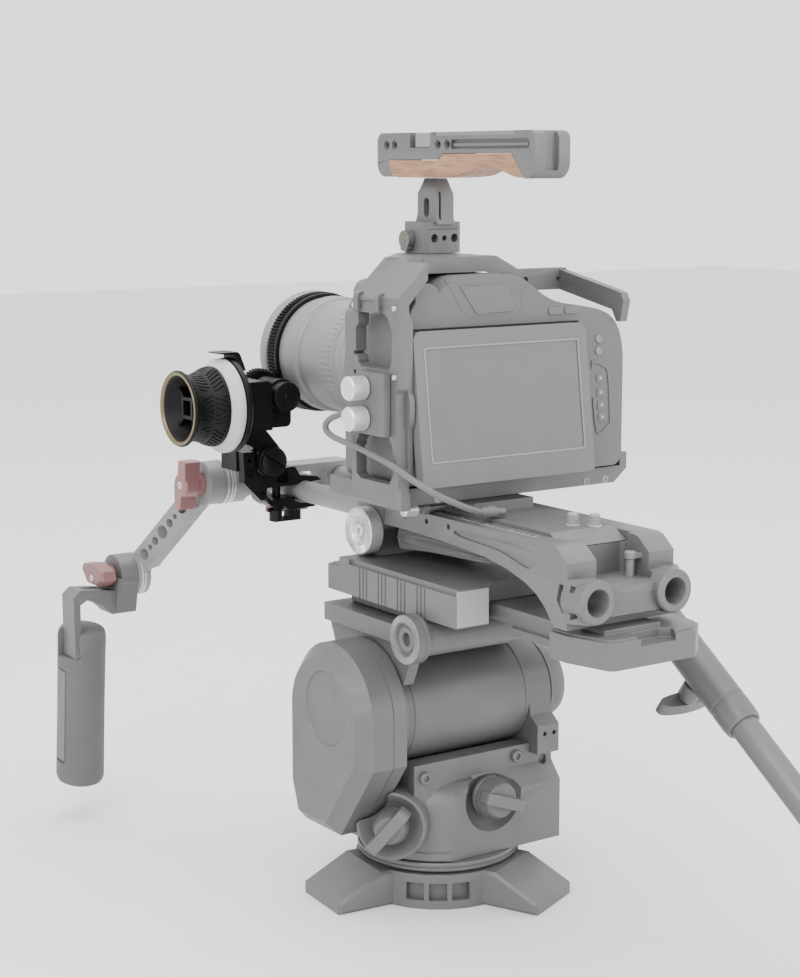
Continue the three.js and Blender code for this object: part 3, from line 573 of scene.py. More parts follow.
def follow_focus_wheel():
    y, z = WHEEL
    waist = [(27.5, -105.3), (27.6, -106.5), (27.4, -108.5), (26.6, -111), (25.4, -113.5), (24.3, -116),
        (23.4, -118.6), (23.0, -121), (23.1, -123.5), (23.6, -126), (24.2, -127.6)]
    profile = [(0, -71), (4.6, -71), (5, -71.4), (5, -96), (21.6, -96), (21.6, -105.3)]
    profile += flowing(waist, 88)
    profile += [(25.2, -128.6), (25.9, -129.4), (26, -130.6), (25.5, -131.5), (24.6, -131.7),
        (22.2, -130.0), (20.6, -127.5), (15.6, -119.2), (14.6, -118.2), (8, -118), (0, -118)]
    grip = lathe("x", y, z, profile, 640)
    # two rows of slanting bars are cut in blocks round the waist, and the slants take turns
    blocks, bars, sunk = 7, 7, 0.7
    for vert in grip.data.vertices:
        p = vert.co / MM
        r = math.hypot(p.y - y, p.z - z)
        row = 0 if -115 < p.x < -107.6 else (1 if -124.6 < p.x < -116.6 else None)
        if r < 22.5 or row is None:
            continue
        place = blocks * math.atan2(p.z - z, p.y - y) / (2 * math.pi)
        share = (place + 0.07 * row) % 1
        slant = 1 if (int(place + blocks + 0.07) + row) % 2 else -1
        if (share * bars + slant * p.x / 7.5) % 1 < 0.36 and 0.1 < share < 0.9:
            k = 1 - sunk / r
            vert.co = Vector((p.x, y + (p.y - y) * k, z + (p.z - z) * k)) * MM
    hub = cut(join(block(-124.5, -117.5, y - 7.5, y + 7.5, z - 7.5, z + 7.5),
            *[turn(block(-124, -117.5, y - 1.3, y + 1.3, z, z + 19.5), "x", a, (0, y, z))
            for a in (45, 135, 225, 315)]), block(-126, -109.2, y - 5, y + 5, z - 5, z + 5))
    wheel = cut(grip, block(-120, -109, y - 5, y + 5, z - 5, z + 5))
    piece(wheel, "follow_wheel_grip", "ff_wheel", angle=28)
    extra(hub, "follow_wheel_hub", "ff_wheel", "black_anodised", soft=0.4)
    rim = hoop("x", y, z, [(22.2, -129.2), (23, -128.8), (24.6, -129.4), (25.2, -130.4), (25.1, -131.5),
            (24.6, -132), (23.6, -132), (22.9, -131.6), (22.3, -130.6)], 160)
    extra(rim, "follow_wheel_rim", "ff_wheel", "gold", slot="black_plastic")
    disc = hoop("x", y, z, [(22, -105), (27.4, -105), (28.3, -104.7), (31.9, -100.2), (32.5, -99.2),
            (32.5, -96.6), (32.0, -96), (22, -96)], 160)
    piece(disc, "marking_ring", "ff_marking_disk")


def gears():
    x, z = PINION
    slack = 0.9                 # degrees, so that the teeth stay clear of each other
    small = gear(PINION_TEETH, MODULE, 0, 141, 149, x, z, GEAR_ANGLE + 180 + 180 / PINION_TEETH - slack)
    small = join(small, rod("y", x, z, 4, 120, 142, 40),
        lathe("y", x, z, [(9.5, 148), (9, 149.4), (4, 149.4), (3.4, 148.8)], 48))
    piece(small, "follow_pinion", "ff_drive_gear", soft=0.12)
    big = join(gear(LENS_TEETH, MODULE, 39.8, 143, 151, 0, LENS_Z, GEAR_ANGLE),
        cut(hoop("y", 0, LENS_Z, [(30, 139), (42, 139), (42.4, 139.4), (42.4, 142.4), (41.4, 143),
            (41.4, 143.6), (30, 143.6)], 212), rod("y", 0, LENS_Z, 39.8, 138, 152, 128)))
    piece(big, "lens_gear_band", "focus_gear_ring", soft=0.12)


def lens():
    z = LENS_Z
    barrel = lathe("y", 0, z, [(31, 8.4), (31, 30), (33, 31), (36, 33.6), (36.6, 34.4), (38, 39), (38, 61),
            (38.4, 62), (39.6, 63), (39.6, 66), (39.0, 66.4), (39.0, 67.2), (39.6, 67.6), (39.6, 97),
            (39.4, 106), (38.6, 112), (38.0, 114.6), (37.8, 116.4), (38.6, 117.4), (40.2, 118.4),
            (40.9, 119.6), (41, 121), (41, 130.4), (40.6, 131), (35, 131.4), (35, 152.4), (41.6, 152.8),
            (42.8, 153.8), (43.4, 155), (43.6, 158.5), (43.2, 159.6), (42.6, 160), (41, 160), (40.6, 159.4),
            (39.6, 159.0), (39.2, 158.2), (38.6, 157.8), (38.2, 157.0), (37.2, 156.6), (36.8, 155.8),
            (33, 154), (33, 151.5)], 192)
    piece(barrel, "lens_shell", "lens_barrel", angle=24)
    glass = lathe("y", 0, z, [(0, 152.4), (32.6, 152.4), (32.6, 153.2)]
        + [(32.6 - 32.6 * i / 12, 153.2 + 4.2 * math.sin(math.radians(90 * i / 12))) for i in range(1, 13)],
        128)
    extra(glass, "lens_front_element", "camera", "lens_glass", slot="pale_alloy")
    bands = [
        # name, profile, depth, count, rows, fill, sides, edge angle
        ("fine", [(40.8, 120.4), (41.1, 120.8), (41.1, 121), (41.1, 129.6), (41.1, 130), (40.8, 130.4)],
         0.22, 180, lambda a: 1 if 120.9 < a < 129.8 else 0, 0.5, 1440, 40),
        ("grip", [(39.4, 69), (40.2, 69.4), (40.2, 71), (40.2, 71.2)]
         + [(40.2, 71.2 + i) for i in range(1, 15)] + [(39.9, 87), (39.4, 87.4)],
         0.7, 60, lambda a: 1 if 71.5 < a < 76 else (0.35 if 77 < a < 84.5 else 0), 0.4, 720, 24),
        ("aperture", [(38.1, 44), (38.9, 44.3), (38.9, 46), (38.9, 46.2), (38.9, 55), (38.9, 55.2),
                      (38.9, 57.4), (38.1, 57.8)],
         0.6, 72, lambda a: 1 if 46.1 < a < 55.1 else 0, 0.4, 576, 24)]
    for name, outline, depth, count, rows, fill, sides, angle in bands:
        band = ribbed("y", 0, z, outline + outline[:1], depth, count, rows, fill, sides)
        extra(band, f"lens_{name}_band", "camera", "pale_alloy", angle=angle)
    ring = hoop("y", 0, z, [(35.3, 131.8), (39.0, 131.8), (39.5, 132.3), (39.5, 137.6), (39.5, 151.4),
            (39.0, 152), (35.3, 152)], 240)
    piece(ring, "lens_turning_ring", "lens_focus_ring")


def clamp_knobs():
    for level, z in (("upper", 352), ("lower", 333)):
        knurled(f"thumb_knob_{level}", -43, z, f"clamp_knob_{level}", 7.6, -101, -88.3)
        shaft = rod("x", -43, z, 3, -89, -82.6, 32)
        extra(shaft, f"thumb_knob_shaft_{level}", f"{level}_knob", "bright_metal", soft=0.2)


def side_rosette():
    disc = lathe("x", 20, 248, [(4.2, -46.2), (4.6, -47), (6, -47), (8, -51), (8.6, -51.6), (9, -51.8),
            (9.4, -50.6), (15, -50.6), (15.4, -51.6), (16, -51), (16, -41.9), (15.4, -41.3), (5, -41.3),
            (5, -37)], 128)
    piece(disc, "rosette_disc", "side_rosette", angle=26)
    extra(rosette("x", 20, 248, -50.8, -1, 15.2, 48, 9.4, 1.3), "rosette_teeth", "rig", "bright_metal",
        angle=20)
    extra(hex_screw("x", 20, 248, -47.2, -1, 4.4), "rosette_screw", "rig", "bright_metal")


def camera_body():
    rear, front = -62, 8
    top = [(107, 352), (106.6, 366), (103.6, 379), (96.5, 389), (85, 394.6), (66, 398.2), (50, 401),
        (37.5, 406.5), (27, 413.5), (17, 418.4), (4, 420), (-14, 420), (-30, 419.4), (-37, 416)]
    outline = flowing(top, 60) + arc(-53, 406.5, 9.5, 20, 190, 12)
    outline += [(-66, 399)] + arc(-64, 393, 5, 110, 180, 4) + arc(-63, 295.5, 6, 180, 270, 6)
    outline += arc(99, 297.5, 8, 270, 360, 8)
    body = prism("y", outline, rear, front)
    body = cut(body, round_block("y", -90, LCD_X[1] + 1.2, 270, 387.7, 1, -70, -57.5))
    piece(body, "camera_shell", "camera_body", soft=3.2, angle=40)
    body.modifiers["soft_edges"].segments = 4

    grip = prism("z", smooth_outline([(62, 4), (65, 22), (75, 35.5), (88, 36.5), (99, 27), (105.4, 12),
            (104, 2), (84, -1)]), 293, 395)
    grip = cut(grip, rod("z", 86, 24, 6.4, 390, 405, 48))
    extra(grip, "camera_hand_grip", "camera", "grip_rubber", soft=5, angle=40, slot="camera_plastic")
    grip.modifiers["soft_edges"].segments = 4
    button = lathe("z", 86, 24, [(6, 391.6), (6, 397.2), (5.6, 397.9), (4.8, 398.2), (0, 397.6)], 64)
    piece(button, "record_key", "record_button")

    def panel(points, sunk, raised):
        """Thin plate with this outline on the camera's rear face."""
        return prism("y", points, rear - raised, rear + sunk)

    hatch = panel([(-29, 413.5), (9, 413.5), (15, 400)] + arc(11, 399, 3, -10, -90, 4)
        + arc(-14, 398.4, 3.2, -95, -150, 4), 2, 0.7)
    extra(hatch, "viewfinder_hatch", "camera", "camera_plastic", soft=0.5)
    outer = [(-40, 418), (22, 410), (21.4, 399), (19, 394.8), (-21, 394), (-26, 397)]
    inner = [(-37.5, 416.6), (20.6, 409), (20.2, 399.4), (18.2, 396), (-20.4, 395.2), (-24.6, 398)]
    seam = cut(panel(outer, 1, 0.25), panel(inner, 2, 1))
    extra(seam, "viewfinder_seam", "camera", "camera_plastic", soft=0.1)
    for i, (x0, x1) in enumerate(((42.5, 54), (56, 68))):
        pad = panel(rounded(x0, x1, 392.6, 397.6, 1.4), 1, 0.9)
        extra(pad, f"function_key_{i + 1}", "camera", "screen", soft=0.35)
    for i, z in enumerate((375, 367)):
        key = lathe("y", 85, z, [(2.6, -61), (2.6, -62.8), (2.2, -63.2), (1.4, -63.2), (1.1, -62.8)], 40)
        extra(key, f"round_key_{i + 1}", "camera", "pale_alloy")
    frame_out = [(79, 356), (82, 360.6), (89, 358), (94.5, 352), (97, 322), (95.4, 316.4), (84, 313.6)]
    frame_in = [(79, 354.4), (82.6, 359), (88.2, 356.6), (93, 351.2), (95.4, 322.4), (94.2, 317.8),
        (84, 315)]
    rim = cut(panel(smooth_outline(frame_out, 5), 1, 0.7), panel(smooth_outline(frame_in, 5), 2, 2))
    extra(rim, "key_frame", "camera", "camera_plastic", soft=0.2)
    for i, z in enumerate((349, 339.5, 331, 323)):
        x = 87 + i * 0.7
        key = panel(rounded(x - 3.4, x + 3.4, z - 3, z + 3, 1.2), 1, 0.55)
        extra(key, f"menu_key_{i + 1}", "camera", "screen", soft=0.3)
        dot = lathe("y", x, z, [(0.9, -62.4), (0.9, -62.75)], 24)
        extra(dot, f"menu_mark_{i + 1}", "camera", "white_disk", slot="camera_plastic")


def screen():
    (x0, x1), (z0, z1), y = LCD_X, LCD_Z, LCD_Y
    back, front = y + 4, y - 4
    outline = arc(x1 - 6, z1 - 6, 6, 0, 90) + arc(x0 + 6, z1 - 6, 6, 90, 180)
    outline += arc(x0 + 4, z0 + 4, 4, 180, 270) + arc(x1 - 4, z0 + 4, 4, 270, 360)

    def inset(by, r, a, b):
        """Rounded block in the window, this far inside the frame's sides."""
        return round_block("y", x0 + by, x1 - by, z0 + by + 8, z1 - by - 3, r, a, b)

    frame_piece = cut(prism("y", outline, front, back), inset(7.5, 1.5, front - 1, front + 1.2))
    glass = inset(7.8, 1.3, front + 0.5, front + 1.4)
    lip = cut(inset(7.1, 1.8, front - 0.35, front + 0.6), inset(8.2, 1.2, front - 1, front + 1))
    for obj in (frame_piece, glass, lip):
        turn(obj, "x", -LCD_LEAN, (0, y, z1))
    piece(frame_piece, "screen_bezel", "lcd_panel", soft=2.6)
    extra(glass, "screen_pane", "lcd", "glass", soft=0.1, slot="screen")
    extra(lip, "screen_lip", "lcd", "pale_alloy", soft=0.15, slot="screen")


def silver_rings(name, body, u, v, places, r=15.9):
    for i, x in enumerate(places):
        ring = hoop("x", u, v, [(r - 1, x - 0.6), (r + 0.25, x - 0.6), (r + 0.35, x), (r + 0.25, x + 0.6),
                (r - 1, x + 0.6)], 96)
        extra(ring, f"{name}_{i + 1}", body, "bright_metal")


def grip_arm():
    y1, z1, y2, z2 = 177.6, 261.8, 253, 185
    x1, x2 = -71, -104
    block_outline = arc(39, 266, 4, 0, 90, 6) + arc(-40, 266, 4, 90, 130, 4) + [(-44, 252), (-38, 249),
        (40, 249), (43, 253)]
    base = prism("y", block_outline, 167, 189)
    neck = prism("z", [(-43, 167), (-43, 189), (-50, 190.6), (-57, 193.4), (-57, 161.8), (-50, 164.8)],
        249.5, 273)
    neck = combine("INTERSECT", neck, [lathe("x", y1, z1, [(15.9, -60), (14, -50), (11.8, -42)], 96)])
    clamp = join(base, neck, rod("x", y1, z1, 15.9, x1, -52, 96))
    clamp = cut(clamp, rod("y", -ROD_X, ROD_Z, ROD_HOLE, 160, 195),
        rod("y", ROD_X, ROD_Z, ROD_HOLE, 160, 195), rod("x", y1, z1, 3.4, x1 - 1, x1 + 14, 32),
        rod("z", -10, 178, 3.4, 248, 262, 32), round_block("y", -16, 17, 253, 264.5, 3, 160, 195))
    piece(clamp, "rod_block_clamp", "arm_rod_clamp", soft=0.8, angle=35)
    silver_rings("arm_joint_ring", "rig", y1, z1, (-63.4, -65.6, -68.6))
    refine("extension_arm", 1.0)
    silver_rings("arm_end_ring", "arm", y2, z2, (x2 + 3.2, x2 + 5.6))
    refine("grip_bracket", 1.2)
    back = x1 - 12.3
    lobes = [(-8.6, -18), (-0.6, -18), (1.6, -7), (7.4, -1.4), (8.6, 17), (7, 18), (-1.6, 18), (-3.4, 6),
        (-8.4, 0)]
    wing = join(prism("x", [(y1 - v, z1 + w) for v, w in lobes], back - 17, back - 5),
        lathe("x", y1, z1, [(8, back), (8, back - 5), (9, back - 6), (9, back - 15.6), (8, back - 17)], 64),
        rod("x", y1, z1, 3, back - 1, back + 24, 32))
    piece(wing, "arm_lobed_knob", "arm_wing_knob", soft=1.2, angle=26)
    for node in ("grip_wing_knob", "rod_clamp_wing"):
        refine(node, 1.1)
    for name, body, x, y, z in (("arm_wing_pin", "arm_knob", back - 17, y1, z1),
            ("grip_wing_pin", "grip_knob", x2 - 14.3 - 17, y2, z2)):
        pin = lathe("x", y, z, [(2.6, x + 0.5), (2.6, x - 0.2), (2.2, x - 0.5), (1.3, x - 0.5),
                (1.2, x + 0.2)], 32)
        extra(pin, name, body, "bright_metal", slot="pink_anodised")


def hand_grip():
    """Rounded oval grip with a sunk panel on its outer side."""
    cx, cy, z0, z1, lean = -142, 258, 26, 148, 5
    half_width, half_depth, sides = 17.5, 20, 72
    levels = [(0, 0.0), (0.6, 0.80), (1.6, 0.90), (3.4, 0.965), (6, 1.0)]
    levels += [(6 + i * 11, 1.0 - 0.015 * math.sin(math.pi * i / 10)) for i in range(1, 10)]
    levels += [(z1 - z0 - 6, 1.0), (z1 - z0 - 3, 0.97), (z1 - z0 - 1.2, 0.92), (z1 - z0 - 0.2, 0.84),
        (z1 - z0, 0)]
    bm = bmesh.new()
    rings = []
    for h, k in levels:
        turns = [2 * math.pi * i / sides for i in range(sides if k else 1)]
        rings.append([bm.verts.new(Vector((cx + half_width * k * math.cos(t),
                cy + half_depth * k * math.sin(t), z0 + h)) * MM) for t in turns])
    skin(bm, rings)
    grip = to_object(bm)
    inset = round_block("x", cy - 8, cy + 8, z0 + 18, z0 + 92, 3, cx - 30, cx - 15.6)
    label = round_block("x", cy - 6.6, cy + 6.6, z0 + 19.4, z0 + 90.6, 2.2, cx - 16.6, cx - 15.0)
    slope = turn(block(-200, -100, 200, 320, 148, 190), "x", 12, (0, cy - 20, 148))
    strap = block(-180, -149.2, 242.5, 263.5, 127.5, 160)
    pivot = (0, cy, z1)
    for obj in (grip, inset, label):
        turn(obj, "x", lean, pivot)
    grip = cut(grip, inset, slope, strap)
    piece(grip, "side_grip_shell", "hand_grip", soft=0.6, angle=40)
    extra(label, "side_grip_panel", "grip", "camera_plastic", soft=0.5, slot="grip_rubber")


def focus_bracket():
    y, back, px, pz = 120, 142, -62.5, 284.5
    upper = [(-66, 264), (-66, 270), (-74, 276), (-86, 278), (-86, 292), (-74, 292)]
    upper += arc(px, pz, 11, 120, 0, 12) + [(-46, 277), (-41, 277.5), (-38, 277), (-34, 271), (-20, 269),
        (-16, 266), (-44, 264)]
    jaw = cut(prism("y", upper, y + 1, back), rod("y", -ROD_X, ROD_Z, ROD_HOLE, 100, 160),
        rod("z", -48, y + 11, 3.3, 250, 269, 32), rod("y", px, pz, 3.4, y, back - 2, 32),
        rod("y", -80, 286, 2.8, y, back - 4, 32), prism("y",
            [(-53.5, 268), (-52.5, 270), (-46, 275.8), (-44.6, 275), (-43.4, 267.4), (-46, 266.4),
            (-52.4, 266.8)], y, back + 1))
    piece(jaw, "focus_clamp_jaw", "ff_rod_clamp", soft=0.7, angle=30)
    jaw = prism("y", [(-62, 258.6), (-57, 254.4), (-50, 255.6), (-39.6, 255.6), (-38.2, 252.6),
            (-33, 250.6), (-22, 250.4), (-19.6, 249.6), (-22, 247.2), (-34, 246.8), (-42, 246.4),
            (-47, 249), (-56, 249.6), (-60, 252.4), (-62, 255)], y + 1, back)
    jaw = cut(jaw, rod("y", -ROD_X, ROD_Z, ROD_HOLE, 100, 160), rod("z", -48, y + 11, 3.3, 240, 264, 32))
    piece(jaw, "focus_clamp_lower_jaw", "ff_lower_jaw", soft=0.7)
    lever = join(rod("z", -48, y + 11, 3, 238, 268, 32), rod("z", -48, y + 11, 5.2, 238, 246, 48),
        round_block("z", -52, -29, y + 7, y + 14, 2.2, 237.6, 244.5),
        rod("x", y + 11, 246.2, 1.6, -55, -42, 24))
    lever = cut(lever, round_block("y", -46, -40, 240, 246, 1, y, y + 22))
    piece(lever, "focus_clamp_handle", "ff_clamp_lever", soft=0.5)
    release = join(prism("y", [(-85, 292), (-76, 292), (-75, 276), (-66, 266), (-66.6, 259), (-68, 257.4),
            (-71, 257), (-84, 270)], y - 7, y + 0.7), rod("y", -80, 286, 2.5, y, y + 16, 32))
    release = cut(release, rod("y", -80, 286, 1.4, y - 8, y - 3, 24),
        rod("y", -69.5, 262, 1.2, y - 8, y - 5, 24), round_block("y", -82.6, -77, 274, 281, 1.2, y - 8,
            y - 5))
    piece(release, "focus_release_handle", "ff_release_lever", soft=0.5)

    arm = join(rod("y", px, pz, 11, y - 6, y + 0.7, 72), prism("y",
            [(-86, 306.5), (-66, 306.5), (-62, 302), (-53, 291), (px + 3, 284), (-67, 284), (-73, 294),
            (-86, 300)], y - 6, y + 0.7))
    arm = cut(arm, rod("y", px, pz, 3.4, y - 20, y + 20, 32))
    piece(arm, "focus_swing_arm", "ff_arm", soft=0.6)
    knob = lathe("y", px, pz, [(8.6, y - 13), (9.6, y - 12.4), (10, y - 11.4), (10, y - 9.2),
            (9.5, y - 8.9), (9.5, y - 8.2), (10, y - 7.9), (10, y - 6.9), (9.6, y - 6.3), (3, y - 6.3),
            (3, y + 18)], 96)
    knob = cut(knob, turn(block(px - 12, px + 12, y - 14, y - 11.4, pz - 0.9, pz + 0.9), "y", 35,
            (px, 0, pz)))
    piece(knob, "focus_pivot_screw", "ff_arm_knob", soft=0.15)

    gx, gz = PINION
    outline = arc(-47, 310.8, 4, 270, 360, 6) + arc(-47, 325, 4, 0, 90, 6) + [(-62, 329)]
    outline += arc(-68, 337, 4, 0, 90, 6) + arc(-82, 337, 4, 90, 180, 6) + [(-86, 306.8)]
    box = join(prism("y", outline, y - 2, y + 14), prism("y",
            [(p, q) for p, q in outline if p < -63] + [(-64, 306.8)], y - 12, y - 1),
        lathe("y", gx, gz, [(11.4, y + 16), (12, y + 15.4), (12, y - 5.4), (11.6, y - 6)], 96),
        rod("x", *WHEEL, 13, -95.6, -85, 72), lathe("x", *WHEEL,
            [(31.4, -95.6), (32.6, -95), (33, -94), (33, -92), (32.4, -91.2), (31, -91)], 144))
    box = cut(box, rod("x", *WHEEL, 5.4, -97, -70, 48), rod("y", gx, gz, 4.4, y - 2, y + 17, 48))
    piece(box, "focus_gear_case", "ff_gearbox", soft=0.5, angle=35)
    cap = lathe("y", gx, gz, [(2, y - 15), (2.4, y - 14.7), (9.2, y - 14.9), (10.2, y - 14.4),
            (10.4, y - 13.4), (10.4, y - 9.8), (9.7, y - 9.3), (9.7, y - 8.3), (10.4, y - 7.8),
            (10.4, y - 6.4), (9.9, y - 5.9)], 96)
    extra(cap, "focus_shaft_cap", "ff_head", "black_anodised")

    hub = join(rod("x", *WHEEL, 17, -90.6, -88.4, 96), prism("x",
            [(106, 333), (128, 337), (129, 350), (128, 360.8), (112.6, 360.8), (110, 350)], -90.6, -88.4),
        prism("y", [(-103, 362), (-103, 361.2), (-92, 359.8), (-88.4, 359.8), (-84.4, 349), (-82.2, 349),
            (-86.6, 360), (-88.4, 362)], 112, 128))
    hub = cut(hub, rod("x", *WHEEL, 13.4, -93, -86, 72))
    piece(hub, "focus_pointer_flag", "ff_pointer", soft=0.35)
    ball = lathe("y", -92.2, 347, [(0, 103)]
        + [(3 * math.sin(math.radians(a)), 106 - 3 * math.cos(math.radians(a))) for a in range(15, 150, 15)]
        + [(1.3, 109), (1.3, 112.6), (0, 112.6)], 40)
    ball = join(ball, rod("x", 111.8, 347, 1.4, -92.8, -89, 24))
    extra(ball, "focus_pointer_ball", "ff_pointer", "bright_metal", slot="black_anodised")


def top_handle():
    left, right, front, rear, bottom, top = -15, 12, 50, -119, 480, 509
    side = arc(front - 6, top - 6, 6, 0, 90, 6)[::-1] + [(front, bottom + 9)] + arc(front - 9, bottom + 9.5,
        9, 0, -90, 6) + [(33, bottom + 0.5), (36.6, 491.6), (-19, 491.6), (-24, 495.6), (-96, 495.6),
        (-106, 482), (-109, 480)]
    side += arc(-109, 490, 10, -90, -180, 6) + arc(rear + 6, top - 6, 6, 180, 90, 5)
    body = prism("x", side, left, right)
    cuts = [block(left - 1, 6.4, -10.4, 12, 499.2, 511),
        prism("z", [(-9.4, -12), (6.4, -12), (6.4, -99), (-9.4, -99)], 506.6, 511),
        block(-6, 3, -103, -34, 505, 511), block(-6.4, 3.4, rear - 1, rear + 3.6, 485, 511),
        *[round_block("x", -113, -33, 498, 504, 1.6, *span)
            for span in ((left - 1, left + 2.4), (right - 2.4, right + 1))],
        prism("y", [(left - 1, 505.6), (left - 1, 510), (left + 3.4, 510)], -98, -14)]
    for y in (39, 30, -19, -29):
        cuts += [rod("x", y, 501, 2.2, left - 1, left + 6, 32),
            rod("x", y, 501, 3.1, left - 1, left + 0.8, 32),
            rod("x", y, 501, 2.2, right - 6, right + 1, 32)]
    body = cut(body, *cuts)
    body = join(body, round_block("x", -111, -35, 499.8, 501.6, 0.7, left + 0.9, left + 4))
    piece(body, "handle_frame", "top_handle", soft=0.8, angle=35)
    insert = round_block("x", -10.2, 7.4, 499.4, 508.6, 0.8, left + 1, 5.6)
    extra(insert, "handle_insert_block", "camera", "knurled_face", soft=0.3)
    lower = [(32.4, 481), (24, 480.2), (8, 480.1), (-12, 480.0), (-28, 480.4), (-42, 481.6), (-54, 484.6),
        (-66, 486.6), (-78, 486.4), (-90, 483.6), (-100, 480.9), (-108, 480.5)]
    outline = flowing(lower, 66) + [(-95.6, 495.2), (-24.2, 495.2), (-20.2, 491.2), (36.2, 491.2)]
    grip = prism("x", outline, left - 0.5, right + 0.5)
    piece(grip, "handle_wood_grip", "wood_grip", soft=1.8, angle=24)
    grip.modifiers["soft_edges"].segments = 4

    base = prism("z", [(-15, -4), (-12, -6), (11, -6), (14, -4), (14, 20), (-10, 22), (-15, 18)], 431.3,
        451.6)
    stem = prism("x", [(-8, 450), (17, 450), (15, 454), (14, 458), (14, 470), (12, 475), (11, 479.7),
            (-4, 479.7), (-5.4, 474), (-7, 468), (-7, 456)], -7.5, 6.5)
    post = join(base, stem)
    post = cut(post, *[rod("y", x, 441, 1.8 if x == 0 else 2.8, -7, -1, 32) for x in (-8, 0, 8)],
        round_block("x", 1, 7, 454.6, 467, 2.8, -9, -3),
        round_block("y", -5.4, -3.6, 453, 471, 0.8, -8, -5),
        prism("y", [(-7.6, 470), (-7.6, 480), (-4, 480)], -10, 20),
        prism("y", [(6.6, 470), (6.6, 480), (3, 480)], -10, 20), rod("x", 12, 440, 3.4, -16, -8, 32),
        block(-20, 20, -7, -5.2, 446.6, 447.2), block(-20, 20, 8, 30, 436, 436.6))
    piece(post, "handle_stem", "handle_post", soft=0.7, angle=30)
    lever = join(rod("x", 12, 440, 3, -17, -9, 32), rod("x", 12, 440, 6, -20, -15.4, 64),
        round_block("x", 8, 16, 432.5, 442, 2, -20, -16))
    piece(lever, "handle_clamp_lever", "post_clamp_lever", soft=0.5)
    pin = lathe("x", 12, 440, [(2, -20.3), (2.3, -20), (2.3, -19.8)], 32)
    extra(pin, "handle_lever_pin", "post_lever", "gold")


def cage():
    shell = cut(copy_of("cage_frame"), prism("x", [(-62, 364), (-65, 370), (-65, 388), (-60, 396.6),
            (-34, 396.6), (-25, 388), (-25, 372), (-31, 364)], -90, -72),
        prism("x", [(-62, 293), (-66, 299), (-66, 316), (-62, 321.6), (-30, 321.6), (-25, 316), (-25, 296),
            (-30, 293)], -90, -72), prism("x", [(-73, 300), (-69.6, 304), (-69.6, 350), (-73, 354)], -90,
            -70), prism("z", [(-83, -74), (-83, -66), (-79.4, -73)], 270, 292),
        *[rod("z", x, y, 2.2, 424, 440, 32) for x, y in ((-40, -38), (-40, 4), (20, -38))],
        block(-28, 20, -31, -29.6, 430.2, 432), prism("y", [(9, 432), (30, 432), (30, 423.6), (26, 423.6)],
            -50, 26), rod("y", 62, 412, 2.2, -14, -11, 32), rod("y", 90, 412, 1.6, -14, -11, 32),
        *[round_block("y", -60 + 40 * i, -32 + 40 * i, 280.6, 284.6, 1.8, -73, -70.8) for i in range(4)])
    piece(shell, "cage_shell", "cage_frame", soft=0.8, angle=26)
    refine("cable_clamp", 0.8)
    clasp = join(*[round_block("y", -84.6, -78, 398, 410.4, 2.6, y, y + 5) for y in (-31, -54)],
        rod("y", -81.8, 406.4, 1.5, -53, -27, 32))
    clasp = cut(clasp, *[rod("y", -81.8, 401.6, 1.1, y - 1, y + 1, 24) for y in (-26, -31, -49, -54)])
    extra(clasp, "cage_clasp", "camera", soft=0.4)
    flange = join(prism("x", [(-71.4, 297), (-62.6, 297), (-62.6, 399), (-68, 399), (-71.4, 392)], -74.4,
            -70.8), prism("x", smooth_outline([(-73, 330), (-64, 326), (-64, 352), (-73, 348)], 5), -74.6,
            -70.8))
    extra(flange, "cage_rear_flange", "camera", soft=0.6)
    for i, (y, z) in enumerate(((-68.6, 360), (-68.6, 402), (-24, 402))):
        screw = hex_screw("x", y, z, -82, -1, 1.6)
        extra(screw, f"cage_screw_{i + 1}", "camera", "bright_metal", slot="grey_alloy")
    for i, x in enumerate((-52, 68, 84)):
        eye = lathe("y", x, 282.6, [(2.6, -71.8), (2.6, -72.4), (2.2, -72.6), (1.5, -72.6), (1.4, -72.1)],
            32)
        extra(eye, f"cage_foot_screw_{i + 1}", "camera", "pale_alloy", slot="grey_alloy")


